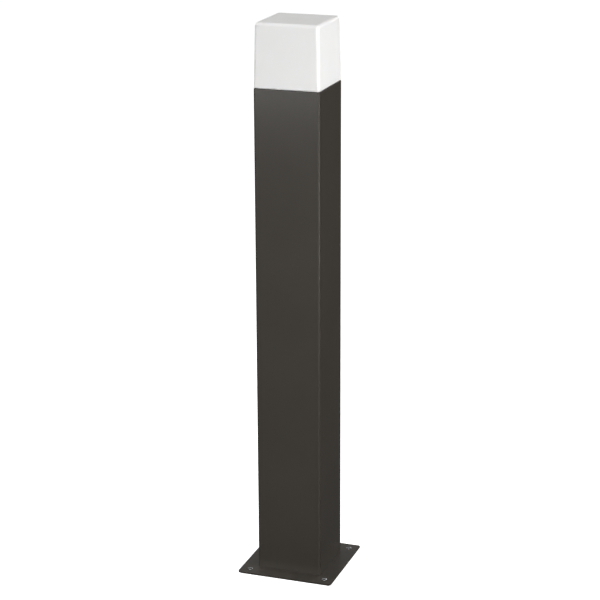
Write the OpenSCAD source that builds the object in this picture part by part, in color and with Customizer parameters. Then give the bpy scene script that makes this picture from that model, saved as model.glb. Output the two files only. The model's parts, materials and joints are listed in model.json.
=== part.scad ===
// Square bollard light: an extruded column on a base plate, with an opal diffuser over a screw-in lamp.
// Millimetres. +Z is up, the origin is the middle of the base plate's underside, the front faces -Y.

/* [Base plate] */
// How far the plate stands out beyond each face of the column
plate_margin = 23.5; // [18:0.5:40]
// Thickness of the plate
plate_t = 3; // [3:0.5:6]
// Radius of the plate's corners
plate_corner_r = 4; // [2:0.5:10]
// Distance from the plate's edge to the middle of a fixing hole
fix_inset = 14; // [9:0.5:16]
// Diameter of the four fixing holes
fix_hole_d = 6.6; // [5:0.1:9]
// Diameter of the cable hole in the middle
cable_hole_d = 30; // [20:1:40]
// Diameter of the bore through the cable grommet
grommet_bore_d = 20; // [12:1:26]
// Height of the grommet above the plate
grommet_h = 5; // [3:0.5:8]

/* [Column] */
// Outside width of the square tube
column_w = 95; // [79:0.5:120]
// Length of the tube
column_l = 707; // [300:1:1200]
// Wall of the tube
column_wall = 3; // [2:0.5:4]
// Outside radius of the tube's corners
column_corner_r = 3; // [1.5:0.5:5]
// Distance from the tube's inner faces to the middle of a screw port
port_inset = 8.5; // [7.5:0.5:12]
// Bore of a screw port
port_bore_d = 4.6; // [4:0.1:5]
// Wall round the bore of a port
port_wall = 2.2; // [1.5:0.1:3]
// Gap along the open side of a port
port_slot = 2; // [1:0.5:3]

/* [Diffuser] */
// Height of the diffuser above the column
diffuser_h = 90; // [72:1:110]
// How much narrower the diffuser is at its top than at its foot
diffuser_taper = 3; // [0:0.5:6]
// Wall of the diffuser
diffuser_wall = 2.8; // [2:0.2:4]
// Radius of the diffuser's upright edges at its foot
diffuser_foot_r = 4; // [3:0.5:8]
// Radius of the diffuser's top edges and corners
diffuser_top_r = 5; // [3.5:0.5:9]
// Wall of the skirt that plugs into the column
skirt_wall = 2.4; // [1.8:0.2:3.4]
// Thickness of the shelf between the diffuser's wall and its skirt
shelf_t = 3; // [2:0.5:5]
// Distance between the two set screws in the back
set_screw_spacing = 50; // [30:1:60]
// Diameter of a set screw
set_screw_d = 4; // [3:0.5:5]

/* [Lamp carrier] */
// Thickness of the carrier plate
carrier_t = 3; // [2.5:0.5:5]
// Diameter of the hole in its middle
carrier_hole_d = 34; // [30:1:36]
// Height of the ribs and the earth boss below the plate
carrier_boss_h = 6; // [4:0.5:8]
// Thickness of the foam seal on the carrier
seal_t = 3; // [2:0.5:5]
// Width of the foam seal
seal_w = 2.9; // [2.4:0.1:3.1]

/* [Terminal box] */
// Width of the box, along X
box_w = 62; // [58:1:66]
// Depth of the box without its lid, along Y
box_d = 40; // [38:1:44]
// Height of the box
box_h = 50; // [48:1:80]
// How far the box is set back from the column's axis
box_shift = 2.5; // [2:0.5:4]
// Wall of the box, and thickness of its lid
box_wall = 2.5; // [2:0.5:3]
// Thickness of the lid's seal
lid_seal_t = 1; // [0.8:0.1:2]
// Thread diameter of the cable gland
gland_d = 16; // [12:1:18]
// Diameter of the cable that the gland takes
gland_cable_d = 8.4; // [6:0.2:9]
// Width of the gland's hexagons across their flats
gland_hex = 22; // [20:0.5:24]

/* [Terminal block] */
// Distance from one pole to the next
pole_pitch = 10; // [9:0.5:11]
// Length of the block along its wires
block_l = 18; // [16:0.5:22]
// Depth of the block
block_d = 14; // [12:0.5:15]
// Bore of a pole's insert
insert_bore_d = 3.2; // [3:0.1:4]
// Outside diameter of an insert
insert_d = 5; // [4.6:0.1:5.6]
// Diameter of a clamp screw
clamp_screw_d = 2.9; // [2.5:0.1:3]
// Diameter of the inner wires
wire_d = 2.2; // [1.8:0.1:2.6]

/* [Lampholder] */
// Thickness of the steel strap under the holder
strap_t = 1.5; // [1:0.25:2]
// Width of the strap
strap_w = 14; // [12:0.5:15]
// Distance between the strap's outer screws
strap_screw_spacing = 53; // [51:0.5:56]
// Outside diameter of the holder's base
holder_base_d = 38; // [36:0.5:39]
// Outside diameter of the holder's rim
holder_rim_d = 35; // [33:0.5:36]
// Height of the holder
holder_h = 42.5; // [40:0.5:44]
// Inside diameter of the screw shell
holder_shell_d = 27; // [26.6:0.1:27.4]
// Sheet thickness of the screw shell and the contact leaf
holder_sheet_t = 0.5; // [0.4:0.05:0.6]
// Height of the lamp's contact above the holder's foot
contact_h = 17.5; // [17:0.25:19]

/* [Lamp] */
// Length of the lamp
lamp_l = 78; // [74:1:96]
// Diameter of the lamp's globe
lamp_d = 45; // [40:1:60]
// Outside diameter of the lamp's screw cap
cap_d = 26.2; // [26:0.1:26.4]
// Pitch of the lamp's thread
thread_pitch = 3.629; // [3.629]
// Turns that free the lamp
thread_turns = 4.4; // [4:0.1:5]
// Wall of the lamp's housing
lamp_wall = 1.5; // [1.2:0.1:2]
// Wall of the lamp's globe
globe_wall = 1.2; // [1:0.1:2]
// Number of LED chips on the board
led_count = 8; // [4:1:12]

/* [Clearances] */
// Space above the lamp when it is fully unscrewed
lamp_headroom = 3.2; // [2:0.2:10]
// Gap between a moving piece and the face that it rests on
rest_gap = 0.3; // [0.2:0.05:0.5]
// Gap between the skirt and the inside of the column
skirt_gap = 0.4; // [0.3:0.05:0.8]
// Gap round the carrier plate inside the column
carrier_gap = 0.3; // [0.2:0.05:0.5]
// Radial gap between a screw and the hole that it threads into
thread_gap = 0.05; // [0.02:0.01:0.1]
// Radial gap between a screw and a plain hole
hole_gap = 0.3; // [0.2:0.05:0.6]

/* [Hidden] */
$fn = 64;
hull_fn = 32;
cut = 1;

plate_w = column_w + 2 * plate_margin;
fix_c = plate_w / 2 - fix_inset;
tube_inner = column_w - 2 * column_wall;
tube_inner_r = max(0.5, column_corner_r - column_wall);
port_c = tube_inner / 2 - port_inset;
port_r = port_bore_d / 2 + port_wall;
port_web = 3;
port_screw_r = port_bore_d / 2 - thread_gap;
port_screw_l = 16;

column_top = plate_t + column_l;
diffuser_top = column_top + diffuser_h;
lamp_lift = thread_pitch * thread_turns;
lamp_stack = carrier_t + strap_t + contact_h + lamp_l + lamp_lift + lamp_headroom + diffuser_wall;
least_seat_depth = 24;
seat_depth = max(least_seat_depth, lamp_stack - diffuser_h);
seat_z = column_top - seat_depth;
carrier_top = seat_z + carrier_t;
holder_z = carrier_top + strap_t;
contact_z = holder_z + contact_h;

skirt_outer = tube_inner - 2 * skirt_gap;
skirt_inner = skirt_outer - 2 * skirt_wall;
skirt_foot = carrier_top + seal_t + rest_gap;
diffuser_foot = column_top + rest_gap;
set_screw_z = (skirt_foot + column_top) / 2;
set_screw_r = set_screw_d / 2 - thread_gap;

box_top = seat_z;
box_floor = box_top - box_h;
box_front = box_shift - box_d / 2;
box_back = box_shift + box_d / 2;
box_screw_x = box_w / 2 - box_wall - 4;
box_boss_r = 4;
box_screw_r = 1.95;
lid_post = 6;
lid_screw_x = box_w / 2 - box_wall - lid_post / 2;
lid_screw_low = box_floor + box_wall + lid_post / 2;
lid_screw_high = box_top - box_wall - lid_post / 2;
lid_back = box_front - lid_seal_t;
lid_front = lid_back - box_wall;
small_screw_r = 1.45;
holder_screw_r = 1.65;
holder_screw_y = 9;

gland_r = gland_d / 2;
gland_bore_r = gland_cable_d / 2 + 1.3;
gland_hole_gap = 0.1;
gland_nut_t = 5;
gland_washer_t = 1;
gland_flange_t = 4.3;
gland_neck_l = 9.7;
gland_cap_l = 12;
gland_cap_floor = 3;
gland_flange_top = box_floor - gland_washer_t;
gland_neck_foot = gland_flange_top - gland_flange_t - gland_neck_l;
gland_cap_foot = gland_neck_foot - gland_cap_floor - rest_gap;

block_w = 3 * pole_pitch;
block_front = box_back - box_wall - block_d;
block_floor = box_floor + box_wall + 9.5;
block_mid = block_floor + block_l / 2;
pole_y = box_back - box_wall - block_d / 2;
clamp_dz = 5;
pan_h = 2.2;

wire_x = 10;
wire_r = wire_d / 2;
wire_sides = 10;
wire_steps = 6;
bush_r = 13;
bush_flange = 1.5;
bush_wire_gap = 0.15;
wire_foot = block_floor + block_l - 6;
rivet_r = 1.25;
rivet_head_r = 2.2;
rivet_head_t = 0.8;
holder_floor = 10.5;
holder_floor_t = 4;
holder_chamber_r = 14;
holder_bar_w = 11;
shell_z = holder_z + holder_floor + holder_floor_t;
shell_r = holder_shell_d / 2 + holder_sheet_t;
wire_end = holder_z + holder_floor - rivet_head_t;

earth_face = seat_z - carrier_boss_h;
earth_lug_t = 0.8;
earth_barrel_r = 1.7;
earth_barrel_l = 4;
earth_barrel_y = box_back + 0.5;
earth_wire_z = earth_face - earth_barrel_r - 0.1;
earth_wire_end = earth_barrel_y + earth_barrel_l - 0.5;
earth_y = box_back + 8.5;

cap_r = cap_d / 2;
cap_l = 26;
globe_r = lamp_d / 2;
globe_z = contact_z + lamp_l - globe_r;
globe_drop = 5.5;
globe_foot = globe_z - globe_drop;
globe_foot_r = sqrt(globe_r * globe_r - globe_drop * globe_drop);
housing_foot = contact_z + cap_l + 1;
housing_foot_r = 14.2;
led_board_t = 1.6;
led_board_z = globe_foot - 2;
sink_t = 1;
neck_r = cap_r - 0.6;

coat = "#45423d";
opal = "#e9e8e5";
steel = "#b9bcc0";
cast = "#c4c6c8";
brass = "#c9a648";
rubber = "#202020";
grey = "#8d9296";
cream = "#ebe6da";

function spline(a, b, c, d, t) =
    0.5 * (2 * b + (c - a) * t + (2 * a - 5 * b + 4 * c - d) * t * t + (3 * b - a - 3 * c + d) * t * t * t);

function smooth_route(p, n) = [
    for (i = [0 : len(p) - 2], j = [0 : n - 1])
        spline(p[max(i - 1, 0)], p[i], p[i + 1], p[min(i + 2, len(p) - 1)], j / n),
    p[len(p) - 1]
];

module rounded_square(w, r) {
    square([w - 2 * r, w], center = true);
    square([w, w - 2 * r], center = true);
    for (x = [-1, 1], y = [-1, 1])
        translate([x * (w / 2 - r), y * (w / 2 - r)]) circle(r);
}

module square_prism(w, r, z0, z1) {
    translate([0, 0, z0]) linear_extrude(z1 - z0) rounded_square(w, r);
}

module disc(r, z0, z1) {
    translate([0, 0, z0]) cylinder(r = r, h = z1 - z0);
}

module block(x0, x1, y0, y1, z0, z1) {
    translate([x0, y0, z0]) cube([x1 - x0, y1 - y0, z1 - z0]);
}

// A cylinder along Y from y0 to y1
module rod_y(r, y0, y1, x, z) {
    translate([x, y0, z]) rotate([-90, 0, 0]) cylinder(r = r, h = y1 - y0);
}

module at_ports() {
    for (x = [-1, 1], y = [-1, 1])
        translate([x * port_c, y * port_c, 0]) children();
}

module at_fixings() {
    for (x = [-1, 1], y = [-1, 1])
        translate([x * fix_c, y * fix_c, 0]) children();
}

module at_lid_screws() {
    for (x = [-1, 1], z = [lid_screw_low, lid_screw_high])
        translate([x * lid_screw_x, 0, z]) children();
}

// A pan-head screw that points down from the face at z = 0, with a hexagon socket
module pan_screw(r, l, head_r, head_h) {
    difference() {
        union() {
            translate([0, 0, -l]) cylinder(r = r, h = l + head_h / 2);
            cylinder(r = head_r, h = head_h);
        }
        translate([0, 0, head_h * 0.4]) cylinder(r = r * 0.7, h = head_h, $fn = 6);
    }
}

// A round tube along a route of [y, z] points in the plane at x
module wire(x, route) {
    p = smooth_route(route, wire_steps);
    n = len(p);
    turn = [
        for (i = [0 : n - 1])
            let (d = p[min(i + 1, n - 1)] - p[max(i - 1, 0)]) atan2(d[1], d[0])
    ];
    rings = [
        for (i = [0 : n - 1], k = [0 : wire_sides - 1])
            let (a = 360 * k / wire_sides)
            [
                x + wire_r * cos(a),
                p[i][0] - wire_r * sin(a) * sin(turn[i]),
                p[i][1] + wire_r * sin(a) * cos(turn[i])
            ]
    ];
    sides = [
        for (i = [0 : n - 2], k = [0 : wire_sides - 1])
            let (m = (k + 1) % wire_sides)
            [i * wire_sides + k, (i + 1) * wire_sides + k, (i + 1) * wire_sides + m, i * wire_sides + m]
    ];
    foot_cap = [for (k = [0 : wire_sides - 1]) k];
    end_cap = [for (k = [wire_sides - 1 : -1 : 0]) (n - 1) * wire_sides + k];
    polyhedron(rings, concat(sides, [foot_cap, end_cap]));
}

// Base

head_cone_r = 4.5;
head_recess = 0.2;
cone_gap = 0.15;

module base_plate() {
    color(coat) difference() {
        square_prism(plate_w, plate_corner_r, 0, plate_t);
        at_fixings() disc(fix_hole_d / 2, -cut, plate_t + cut);
        disc(cable_hole_d / 2, -cut, plate_t + cut);
        at_ports() {
            disc(port_screw_r + hole_gap, -cut, plate_t + cut);
            // Countersink, a little wider than the screw head's cone
            translate([0, 0, -head_recess])
                cylinder(r1 = head_cone_r + 2 * head_recess + cone_gap, r2 = port_screw_r,
                         h = head_cone_r + 2 * head_recess + cone_gap - port_screw_r);
        }
    }
}

module base_screws() {
    head_h = head_cone_r - port_screw_r;
    color(steel) at_ports() difference() {
        union() {
            translate([0, 0, head_recess]) cylinder(r1 = head_cone_r, r2 = port_screw_r, h = head_h);
            disc(port_screw_r, head_recess + head_h, plate_t + port_screw_l);
        }
        translate([0, 0, -cut]) cylinder(r = 1.6, h = cut + head_h * 0.6, $fn = 6);
    }
}

module cable_grommet() {
    flange_t = 2;
    collar_w = 2.2;
    color(rubber) difference() {
        union() {
            disc(cable_hole_d / 2 - thread_gap, head_recess, plate_t + flange_t);
            disc(cable_hole_d / 2 + 3, plate_t, plate_t + flange_t);
            disc(grommet_bore_d / 2 + collar_w, plate_t, plate_t + grommet_h);
        }
        disc(grommet_bore_d / 2, -cut, plate_t + grommet_h + cut);
    }
}

// Column

module port_section() {
    to_corner = sqrt(2) * port_inset + 1;
    difference() {
        union() {
            circle(port_r);
            rotate(45) translate([0, -port_web / 2]) square([to_corner, port_web]);
        }
        circle(port_bore_d / 2);
        rotate(225) translate([0, -port_slot / 2]) square([port_r + cut, port_slot]);
    }
}

module column() {
    color(coat) difference() {
        union() {
            translate([0, 0, plate_t]) linear_extrude(column_l) difference() {
                rounded_square(column_w, column_corner_r);
                rounded_square(tube_inner, tube_inner_r);
            }
            // The screw ports stop where the lamp carrier sits
            translate([0, 0, plate_t]) linear_extrude(seat_z - plate_t)
                for (i = [0 : 3])
                    rotate(90 * i) translate([port_c, port_c]) port_section();
        }
        for (x = [-1, 1])
            rod_y(set_screw_d / 2, tube_inner / 2 - cut, column_w / 2 + cut,
                  x * set_screw_spacing / 2, set_screw_z);
    }
}

// Head

module lamp_carrier() {
    rib_t = 2;
    rib_h = 3.5;
    rib_l = 2 * (port_c - port_r) - 4;
    boss_r = 5;
    color(cast) difference() {
        union() {
            square_prism(tube_inner - 2 * carrier_gap, 2, seat_z, carrier_top);
            for (y = [lid_front - 7, box_back + 3])
                block(-rib_l / 2, rib_l / 2, y, y + rib_t, seat_z - rib_h, seat_z + cut);
            translate([0, earth_y, 0]) disc(boss_r, earth_face, seat_z + cut);
        }
        disc(carrier_hole_d / 2, seat_z - cut, carrier_top + cut);
        at_ports() disc(port_screw_r + hole_gap, seat_z - cut, carrier_top + cut);
        for (x = [-1, 1])
            translate([x * box_screw_x, 0, 0]) disc(box_screw_r + hole_gap, seat_z - cut, carrier_top + cut);
        for (y = [-1, 1])
            translate([0, y * strap_screw_spacing / 2, 0])
                disc(holder_screw_r + thread_gap, seat_z - 5, carrier_top + cut);
        translate([0, earth_y, 0]) disc(holder_screw_r + thread_gap, earth_face - cut, seat_z + 1);
    }
}

module carrier_screws() {
    color(steel) at_ports() translate([0, 0, carrier_top])
        pan_screw(port_screw_r, port_screw_l, 4, 2.8);
}

module head_seal() {
    color(rubber) difference() {
        square_prism(skirt_outer, 2, carrier_top, carrier_top + seal_t);
        square_prism(skirt_outer - 2 * seal_w, 1, carrier_top - cut, carrier_top + seal_t + cut);
    }
}

// A quarter round on its axis, from a radius r at z = 0 up to a point at z = r
module dome(r) {
    rotate_extrude($fn = hull_fn)
        polygon([[0, 0], for (a = [0 : 90 / 8 : 90]) [r * cos(a), r * sin(a)]]);
}

// A square body that narrows from w0 at z0 to w1 at z1, with round upright and top edges
module drafted_body(w0, w1, z0, z1, foot_r, top_r) {
    hull() for (x = [-1, 1], y = [-1, 1]) {
        translate([x * (w0 / 2 - foot_r), y * (w0 / 2 - foot_r), z0])
            cylinder(r = foot_r, h = 0.01, $fn = hull_fn);
        translate([x * (w1 / 2 - top_r), y * (w1 / 2 - top_r), z1 - top_r]) dome(top_r);
    }
}

module diffuser() {
    top_w = column_w - diffuser_taper;
    wall = 2 * diffuser_wall;
    inner_foot = diffuser_foot + shelf_t;
    color(opal) difference() {
        union() {
            drafted_body(column_w, top_w, diffuser_foot, diffuser_top, diffuser_foot_r, diffuser_top_r);
            square_prism(skirt_outer, 2, skirt_foot, diffuser_foot + shelf_t / 2);
        }
        drafted_body(column_w - wall, top_w - wall, inner_foot, diffuser_top - diffuser_wall,
                     diffuser_foot_r - 1, diffuser_top_r - diffuser_wall + 1);
        square_prism(skirt_inner, 1, skirt_foot - cut, inner_foot + 0.1);
    }
}

module set_screws() {
    tip = skirt_outer / 2 + rest_gap;
    head = column_w / 2 - 0.1;
    color(steel) for (x = [-1, 1]) difference() {
        rod_y(set_screw_r, tip, head, x * set_screw_spacing / 2, set_screw_z);
        translate([x * set_screw_spacing / 2, head - 1.6, set_screw_z])
            rotate([-90, 0, 0]) cylinder(r = 1.15, h = 1.6 + cut, $fn = 6);
    }
}

// Terminal box

module terminal_box() {
    half_w = box_w / 2;
    wall = box_wall;
    boss_l = 11.5;
    color(grey) difference() {
        union() {
            difference() {
                block(-half_w, half_w, box_front, box_back, box_floor, box_top);
                block(wall - half_w, half_w - wall, box_front - cut, box_back - wall,
                      box_floor + wall, box_top - wall);
            }
            for (x = [-1, 1]) translate([x * box_screw_x, 0, 0])
                disc(box_boss_r, box_top - wall - boss_l, box_top - wall / 2);
            for (x = [-1, 1], z = [lid_screw_low, lid_screw_high])
                translate([x * lid_screw_x - lid_post / 2, box_front, z - lid_post / 2])
                    cube([lid_post, 12, lid_post]);
        }
        disc(gland_r + gland_hole_gap, box_floor - cut, box_floor + wall + cut);
        disc(bush_r, box_top - wall - cut, box_top + cut);
        for (x = [-1, 1]) translate([x * box_screw_x, 0, 0])
            disc(box_screw_r + thread_gap, box_top - 12, box_top + cut);
        at_lid_screws() rod_y(small_screw_r + thread_gap, box_front - cut, box_front + 10, 0, 0);
        for (x = [-1, 1])
            rod_y(small_screw_r + thread_gap, box_back - wall - cut, box_back - 0.5,
                  x * pole_pitch / 2, block_mid);
        rod_y(wire_r + hole_gap, box_back - wall - cut, box_back + cut, 0, earth_wire_z);
    }
}

module box_screws() {
    color(steel) for (x = [-1, 1])
        translate([x * box_screw_x, 0, carrier_top]) pan_screw(box_screw_r, carrier_t + 11, 3.3, 2.4);
}

module box_lid() {
    raise = 6;
    color(grey) difference() {
        union() {
            block(-box_w / 2, box_w / 2, lid_front, lid_back, box_floor, box_top);
            block(raise + 5 - box_w / 2, box_w / 2 - raise - 5, lid_front - 1, lid_back,
                  box_floor + raise, box_top - raise);
        }
        at_lid_screws() rod_y(small_screw_r + hole_gap, lid_front - 2, lid_back + cut, 0, 0);
    }
}

module lid_seal() {
    color(rubber) difference() {
        block(-box_w / 2, box_w / 2, lid_back, box_front, box_floor, box_top);
        block(box_wall + lid_post - box_w / 2, box_w / 2 - box_wall - lid_post, lid_back - cut,
              box_front + cut, box_floor + box_wall, box_top - box_wall);
        at_lid_screws() rod_y(small_screw_r + hole_gap, lid_back - cut, box_front + cut, 0, 0);
    }
}

module lid_screws() {
    color(steel) at_lid_screws() translate([0, lid_front, 0]) rotate([90, 0, 0])
        pan_screw(small_screw_r, 12, 2.6, 1.9);
}

// Cable gland

module hexagon(z0, z1) {
    translate([0, 0, z0]) cylinder(r = gland_hex / sqrt(3), h = z1 - z0, $fn = 6);
}

module gland_body() {
    seal_room = 8;
    color(rubber) difference() {
        union() {
            disc(gland_r, gland_neck_foot, box_floor + box_wall + gland_nut_t + 2);
            hexagon(gland_flange_top - gland_flange_t, gland_flange_top);
        }
        disc(gland_bore_r, gland_neck_foot - cut, box_top);
        disc(gland_bore_r + 1, gland_neck_foot - cut, gland_neck_foot + seal_room);
    }
}

module gland_washer() {
    color(grey) difference() {
        disc(gland_r + 2.6, gland_flange_top, box_floor);
        disc(gland_r + gland_hole_gap, gland_flange_top - cut, box_floor + cut);
    }
}

module gland_locknut() {
    nut_foot = box_floor + box_wall;
    color(rubber) difference() {
        hexagon(nut_foot, nut_foot + gland_nut_t);
        disc(gland_r + thread_gap, nut_foot - cut, nut_foot + gland_nut_t + cut);
    }
}

module gland_seal() {
    color(grey) difference() {
        disc(gland_bore_r + 1 - thread_gap, gland_neck_foot - rest_gap, gland_neck_foot + 7.5);
        disc(gland_cable_d / 2, gland_neck_foot - cut, gland_neck_foot + 8.5);
    }
}

module gland_cap() {
    color(rubber) difference() {
        hexagon(gland_cap_foot, gland_cap_foot + gland_cap_l);
        disc(gland_r + thread_gap, gland_cap_foot + gland_cap_floor, gland_cap_foot + gland_cap_l + cut);
        disc(gland_cable_d / 2 + 0.6, gland_cap_foot - cut, gland_cap_foot + gland_cap_l);
    }
}

// Terminal block

module at_clamp_screws() {
    for (i = [-1 : 1], z = [-1, 1])
        translate([i * pole_pitch, 0, block_mid + z * clamp_dz]) children();
}

module terminal_block() {
    color(cream) difference() {
        block(-block_w / 2, block_w / 2, block_front, block_front + block_d,
              block_floor, block_floor + block_l);
        for (i = [-1 : 1])
            translate([i * pole_pitch, pole_y, 0])
                disc(insert_d / 2 + thread_gap, block_floor - cut, block_floor + block_l + cut);
        at_clamp_screws() rod_y(clamp_screw_d / 2 + thread_gap, block_front - cut, pole_y, 0, 0);
        for (x = [-1, 1]) {
            // Slots that part the poles, in front of the fixing screws
            block(x * pole_pitch / 2 - 1, x * pole_pitch / 2 + 1, block_front - cut, block_front + 3,
                  block_floor - cut, block_mid - 4);
            block(x * pole_pitch / 2 - 1, x * pole_pitch / 2 + 1, block_front - cut, block_front + 3,
                  block_mid + 4, block_floor + block_l + cut);
            rod_y(small_screw_r + hole_gap, block_front - cut, block_front + block_d + cut,
                  x * pole_pitch / 2, block_mid);
        }
    }
}

module block_screws() {
    color(steel) for (x = [-1, 1])
        translate([x * pole_pitch / 2, block_front, block_mid]) rotate([90, 0, 0])
            pan_screw(small_screw_r, block_d + box_wall - 0.8, 2.3, 1.6);
}

module terminal_inserts() {
    color(brass) difference() {
        for (i = [-1 : 1])
            translate([i * pole_pitch, pole_y, 0])
                disc(insert_d / 2, block_floor + 0.5, block_floor + block_l - 0.5);
        for (i = [-1 : 1])
            translate([i * pole_pitch, pole_y, 0])
                disc(insert_bore_d / 2, block_floor - cut, block_floor + block_l + cut);
        at_clamp_screws() rod_y(clamp_screw_d / 2 + thread_gap, block_front - cut, pole_y, 0, 0);
    }
}

module terminal_screws() {
    head = block_front + 1.5;
    color(steel) at_clamp_screws() difference() {
        rod_y(clamp_screw_d / 2, head, pole_y - wire_r - rest_gap, 0, 0);
        block(-clamp_screw_d, clamp_screw_d, head - cut, head + 0.9, -0.3, 0.3);
    }
}

// Wiring. The routes lie in planes of constant x, and their points are [y, z].

module wire_bush() {
    color(rubber) difference() {
        union() {
            disc(bush_r - thread_gap, box_top - box_wall - bush_flange, box_top - 0.1);
            disc(bush_r + 2, box_top - box_wall - bush_flange, box_top - box_wall);
        }
        for (x = [-1, 1])
            translate([x * wire_x, 0, 0]) disc(wire_r + bush_wire_gap, box_top - 10, box_top + cut);
    }
}

lamp_wire_route = [
    [pole_y, wire_foot],
    [pole_y, wire_foot + 8],
    [pole_y - 1.6, wire_foot + 12],
    [pole_y / 2, box_top - 10.5],
    [1.4, box_top - 7],
    [0, box_top - 4.2],
    [0, box_top],
    [0, wire_end - 6],
    [0, wire_end]
];
earth_wire_route = [
    [pole_y, wire_foot],
    [pole_y, wire_foot + 8],
    [pole_y + 0.8, wire_foot + 13],
    [pole_y + 3.4, earth_wire_z - 1.4],
    [box_back - box_wall, earth_wire_z],
    [earth_barrel_y, earth_wire_z],
    [earth_wire_end, earth_wire_z]
];

module live_wire() {
    color("#6b4026") wire(-wire_x, lamp_wire_route);
}

module neutral_wire() {
    color("#2e6fb5") wire(wire_x, lamp_wire_route);
}

module earth_wire() {
    color("#7fa23a") wire(0, earth_wire_route);
}

module earth_terminal() {
    ring_r = 4.2;
    crimp_gap = 0.15;
    color(steel) difference() {
        union() {
            translate([0, earth_y, 0]) disc(ring_r, earth_face - earth_lug_t, earth_face);
            block(-1.6, 1.6, earth_barrel_y, earth_y, earth_face - earth_lug_t, earth_face);
            rod_y(earth_barrel_r, earth_barrel_y, earth_barrel_y + earth_barrel_l, 0, earth_wire_z);
        }
        rod_y(wire_r + crimp_gap, earth_barrel_y - cut, earth_wire_end, 0, earth_wire_z);
        translate([0, earth_y, 0]) disc(holder_screw_r + hole_gap, earth_face - 2, earth_face + cut);
    }
}

module earth_washer() {
    top = earth_face - earth_lug_t;
    color(steel) translate([0, earth_y, 0]) difference() {
        disc(3.8, top - 0.8, top);
        disc(holder_screw_r + hole_gap, top - 2, top + cut);
    }
}

module earth_screw() {
    color(brass) translate([0, earth_y, earth_face - earth_lug_t - 0.8]) rotate([180, 0, 0])
        pan_screw(holder_screw_r, carrier_boss_h + 1.6, 3.2, pan_h);
}

// Lampholder

module holder_bracket() {
    end_y = strap_screw_spacing / 2;
    color(steel) translate([0, 0, carrier_top]) linear_extrude(strap_t) difference() {
        union() {
            square([strap_w, 2 * end_y], center = true);
            for (y = [-1, 1])
                translate([0, y * end_y]) intersection() {
                    circle(strap_w / 2);
                    square([strap_w, 9], center = true);
                }
        }
        for (y = [-1, 1]) {
            translate([0, y * end_y]) circle(holder_screw_r + hole_gap);
            translate([0, y * holder_screw_y]) circle(holder_screw_r + hole_gap);
        }
    }
}

module bracket_screws() {
    color(steel) for (y = [-1, 1])
        translate([0, y * strap_screw_spacing / 2, holder_z])
            pan_screw(holder_screw_r, strap_t + carrier_t + 1.5, 3, pan_h);
}

module holder_screws() {
    color(steel) for (y = [-1, 1])
        translate([0, y * holder_screw_y, carrier_top]) rotate([180, 0, 0])
            pan_screw(holder_screw_r, strap_t + 7, 3, pan_h);
}

module holder_body() {
    base_r = holder_base_d / 2;
    rim_r = holder_rim_d / 2;
    step_z = 18;
    bore_r = shell_r + 0.1;
    color(cream) translate([0, 0, holder_z]) difference() {
        rotate_extrude() polygon([
            [0, 0], [base_r - 0.5, 0], [base_r, 0.5], [base_r, step_z], [rim_r, step_z + 2],
            [rim_r, holder_h - 1], [rim_r - 1, holder_h], [0, holder_h]
        ]);
        difference() {
            disc(holder_chamber_r, -cut, holder_floor);
            block(-holder_bar_w / 2, holder_bar_w / 2, -base_r, base_r, -2 * cut, holder_floor);
        }
        disc(bore_r, holder_floor + holder_floor_t, holder_h + cut);
        for (x = [-1, 1])
            translate([x * wire_x, 0, 0]) disc(rivet_r + thread_gap, holder_floor - cut, holder_h);
        for (y = [-1, 1])
            translate([0, y * holder_screw_y, 0]) disc(holder_screw_r + thread_gap, -cut, 8.5);
    }
}

module holder_shell() {
    shell_h = holder_h - holder_floor - holder_floor_t - 3;
    tab_w = 6;
    color(brass) translate([0, 0, shell_z]) difference() {
        union() {
            difference() {
                disc(shell_r, 0, shell_h);
                disc(holder_shell_d / 2, -cut, shell_h + cut);
            }
            block(wire_x - 2.6, holder_shell_d / 2 + 0.2, -tab_w / 2, tab_w / 2, 0, holder_sheet_t);
        }
        translate([wire_x, 0, 0]) disc(rivet_r + thread_gap, -cut, 2);
    }
}

module centre_contact() {
    leaf_w = 7;
    t = holder_sheet_t;
    rise = contact_z - shell_z - rest_gap - t;
    color(brass) translate([0, 0, shell_z]) difference() {
        translate([0, leaf_w / 2, 0]) rotate([90, 0, 0]) linear_extrude(leaf_w) polygon([
            [-wire_x - 2.6, 0], [-6.5, 0], [-3, rise], [4, rise], [5.2, rise - 1.2],
            [5.6, rise - 0.9], [4.2, rise + t], [-3.2, rise + t], [-6.8, t], [-wire_x - 2.6, t]
        ]);
        translate([-wire_x, 0, 0]) disc(rivet_r + thread_gap, -cut, 2);
    }
}

module holder_rivets() {
    top = shell_z + holder_sheet_t;
    foot = holder_z + holder_floor;
    color(brass) for (x = [-1, 1]) translate([x * wire_x, 0, 0]) {
        disc(rivet_r, foot - rivet_head_t, top + rivet_head_t);
        disc(rivet_head_r, top, top + rivet_head_t);
        disc(rivet_head_r, foot - rivet_head_t, foot);
    }
}

// Lamp. Heights in these modules are above its centre contact.

contact_r = 4.5;
insulator_r = 11.3;

module lamp_contact() {
    color(steel) translate([0, 0, contact_z]) rotate_extrude() polygon([
        [0, 0], [contact_r - 1, 0], [contact_r, 0.8], [contact_r, 6.5], [0, 6.5]
    ]);
}

module lamp_insulator() {
    color("#1d1d22") translate([0, 0, contact_z]) rotate_extrude() polygon([
        [contact_r + thread_gap, 1], [contact_r + 1.5, 0.9], [insulator_r, 5],
        [insulator_r, 7.5], [contact_r + thread_gap, 7.5]
    ]);
}

module lamp_cap() {
    lip_r = insulator_r + thread_gap;
    wall = 0.5;
    color(cast) translate([0, 0, contact_z]) rotate_extrude() polygon([
        [lip_r, 5.3], [cap_r - 0.9, 5.3], [cap_r, 7.5], [cap_r, cap_l],
        [cap_r - wall, cap_l], [cap_r - wall, 8], [lip_r, 6.2]
    ]);
}

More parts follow.
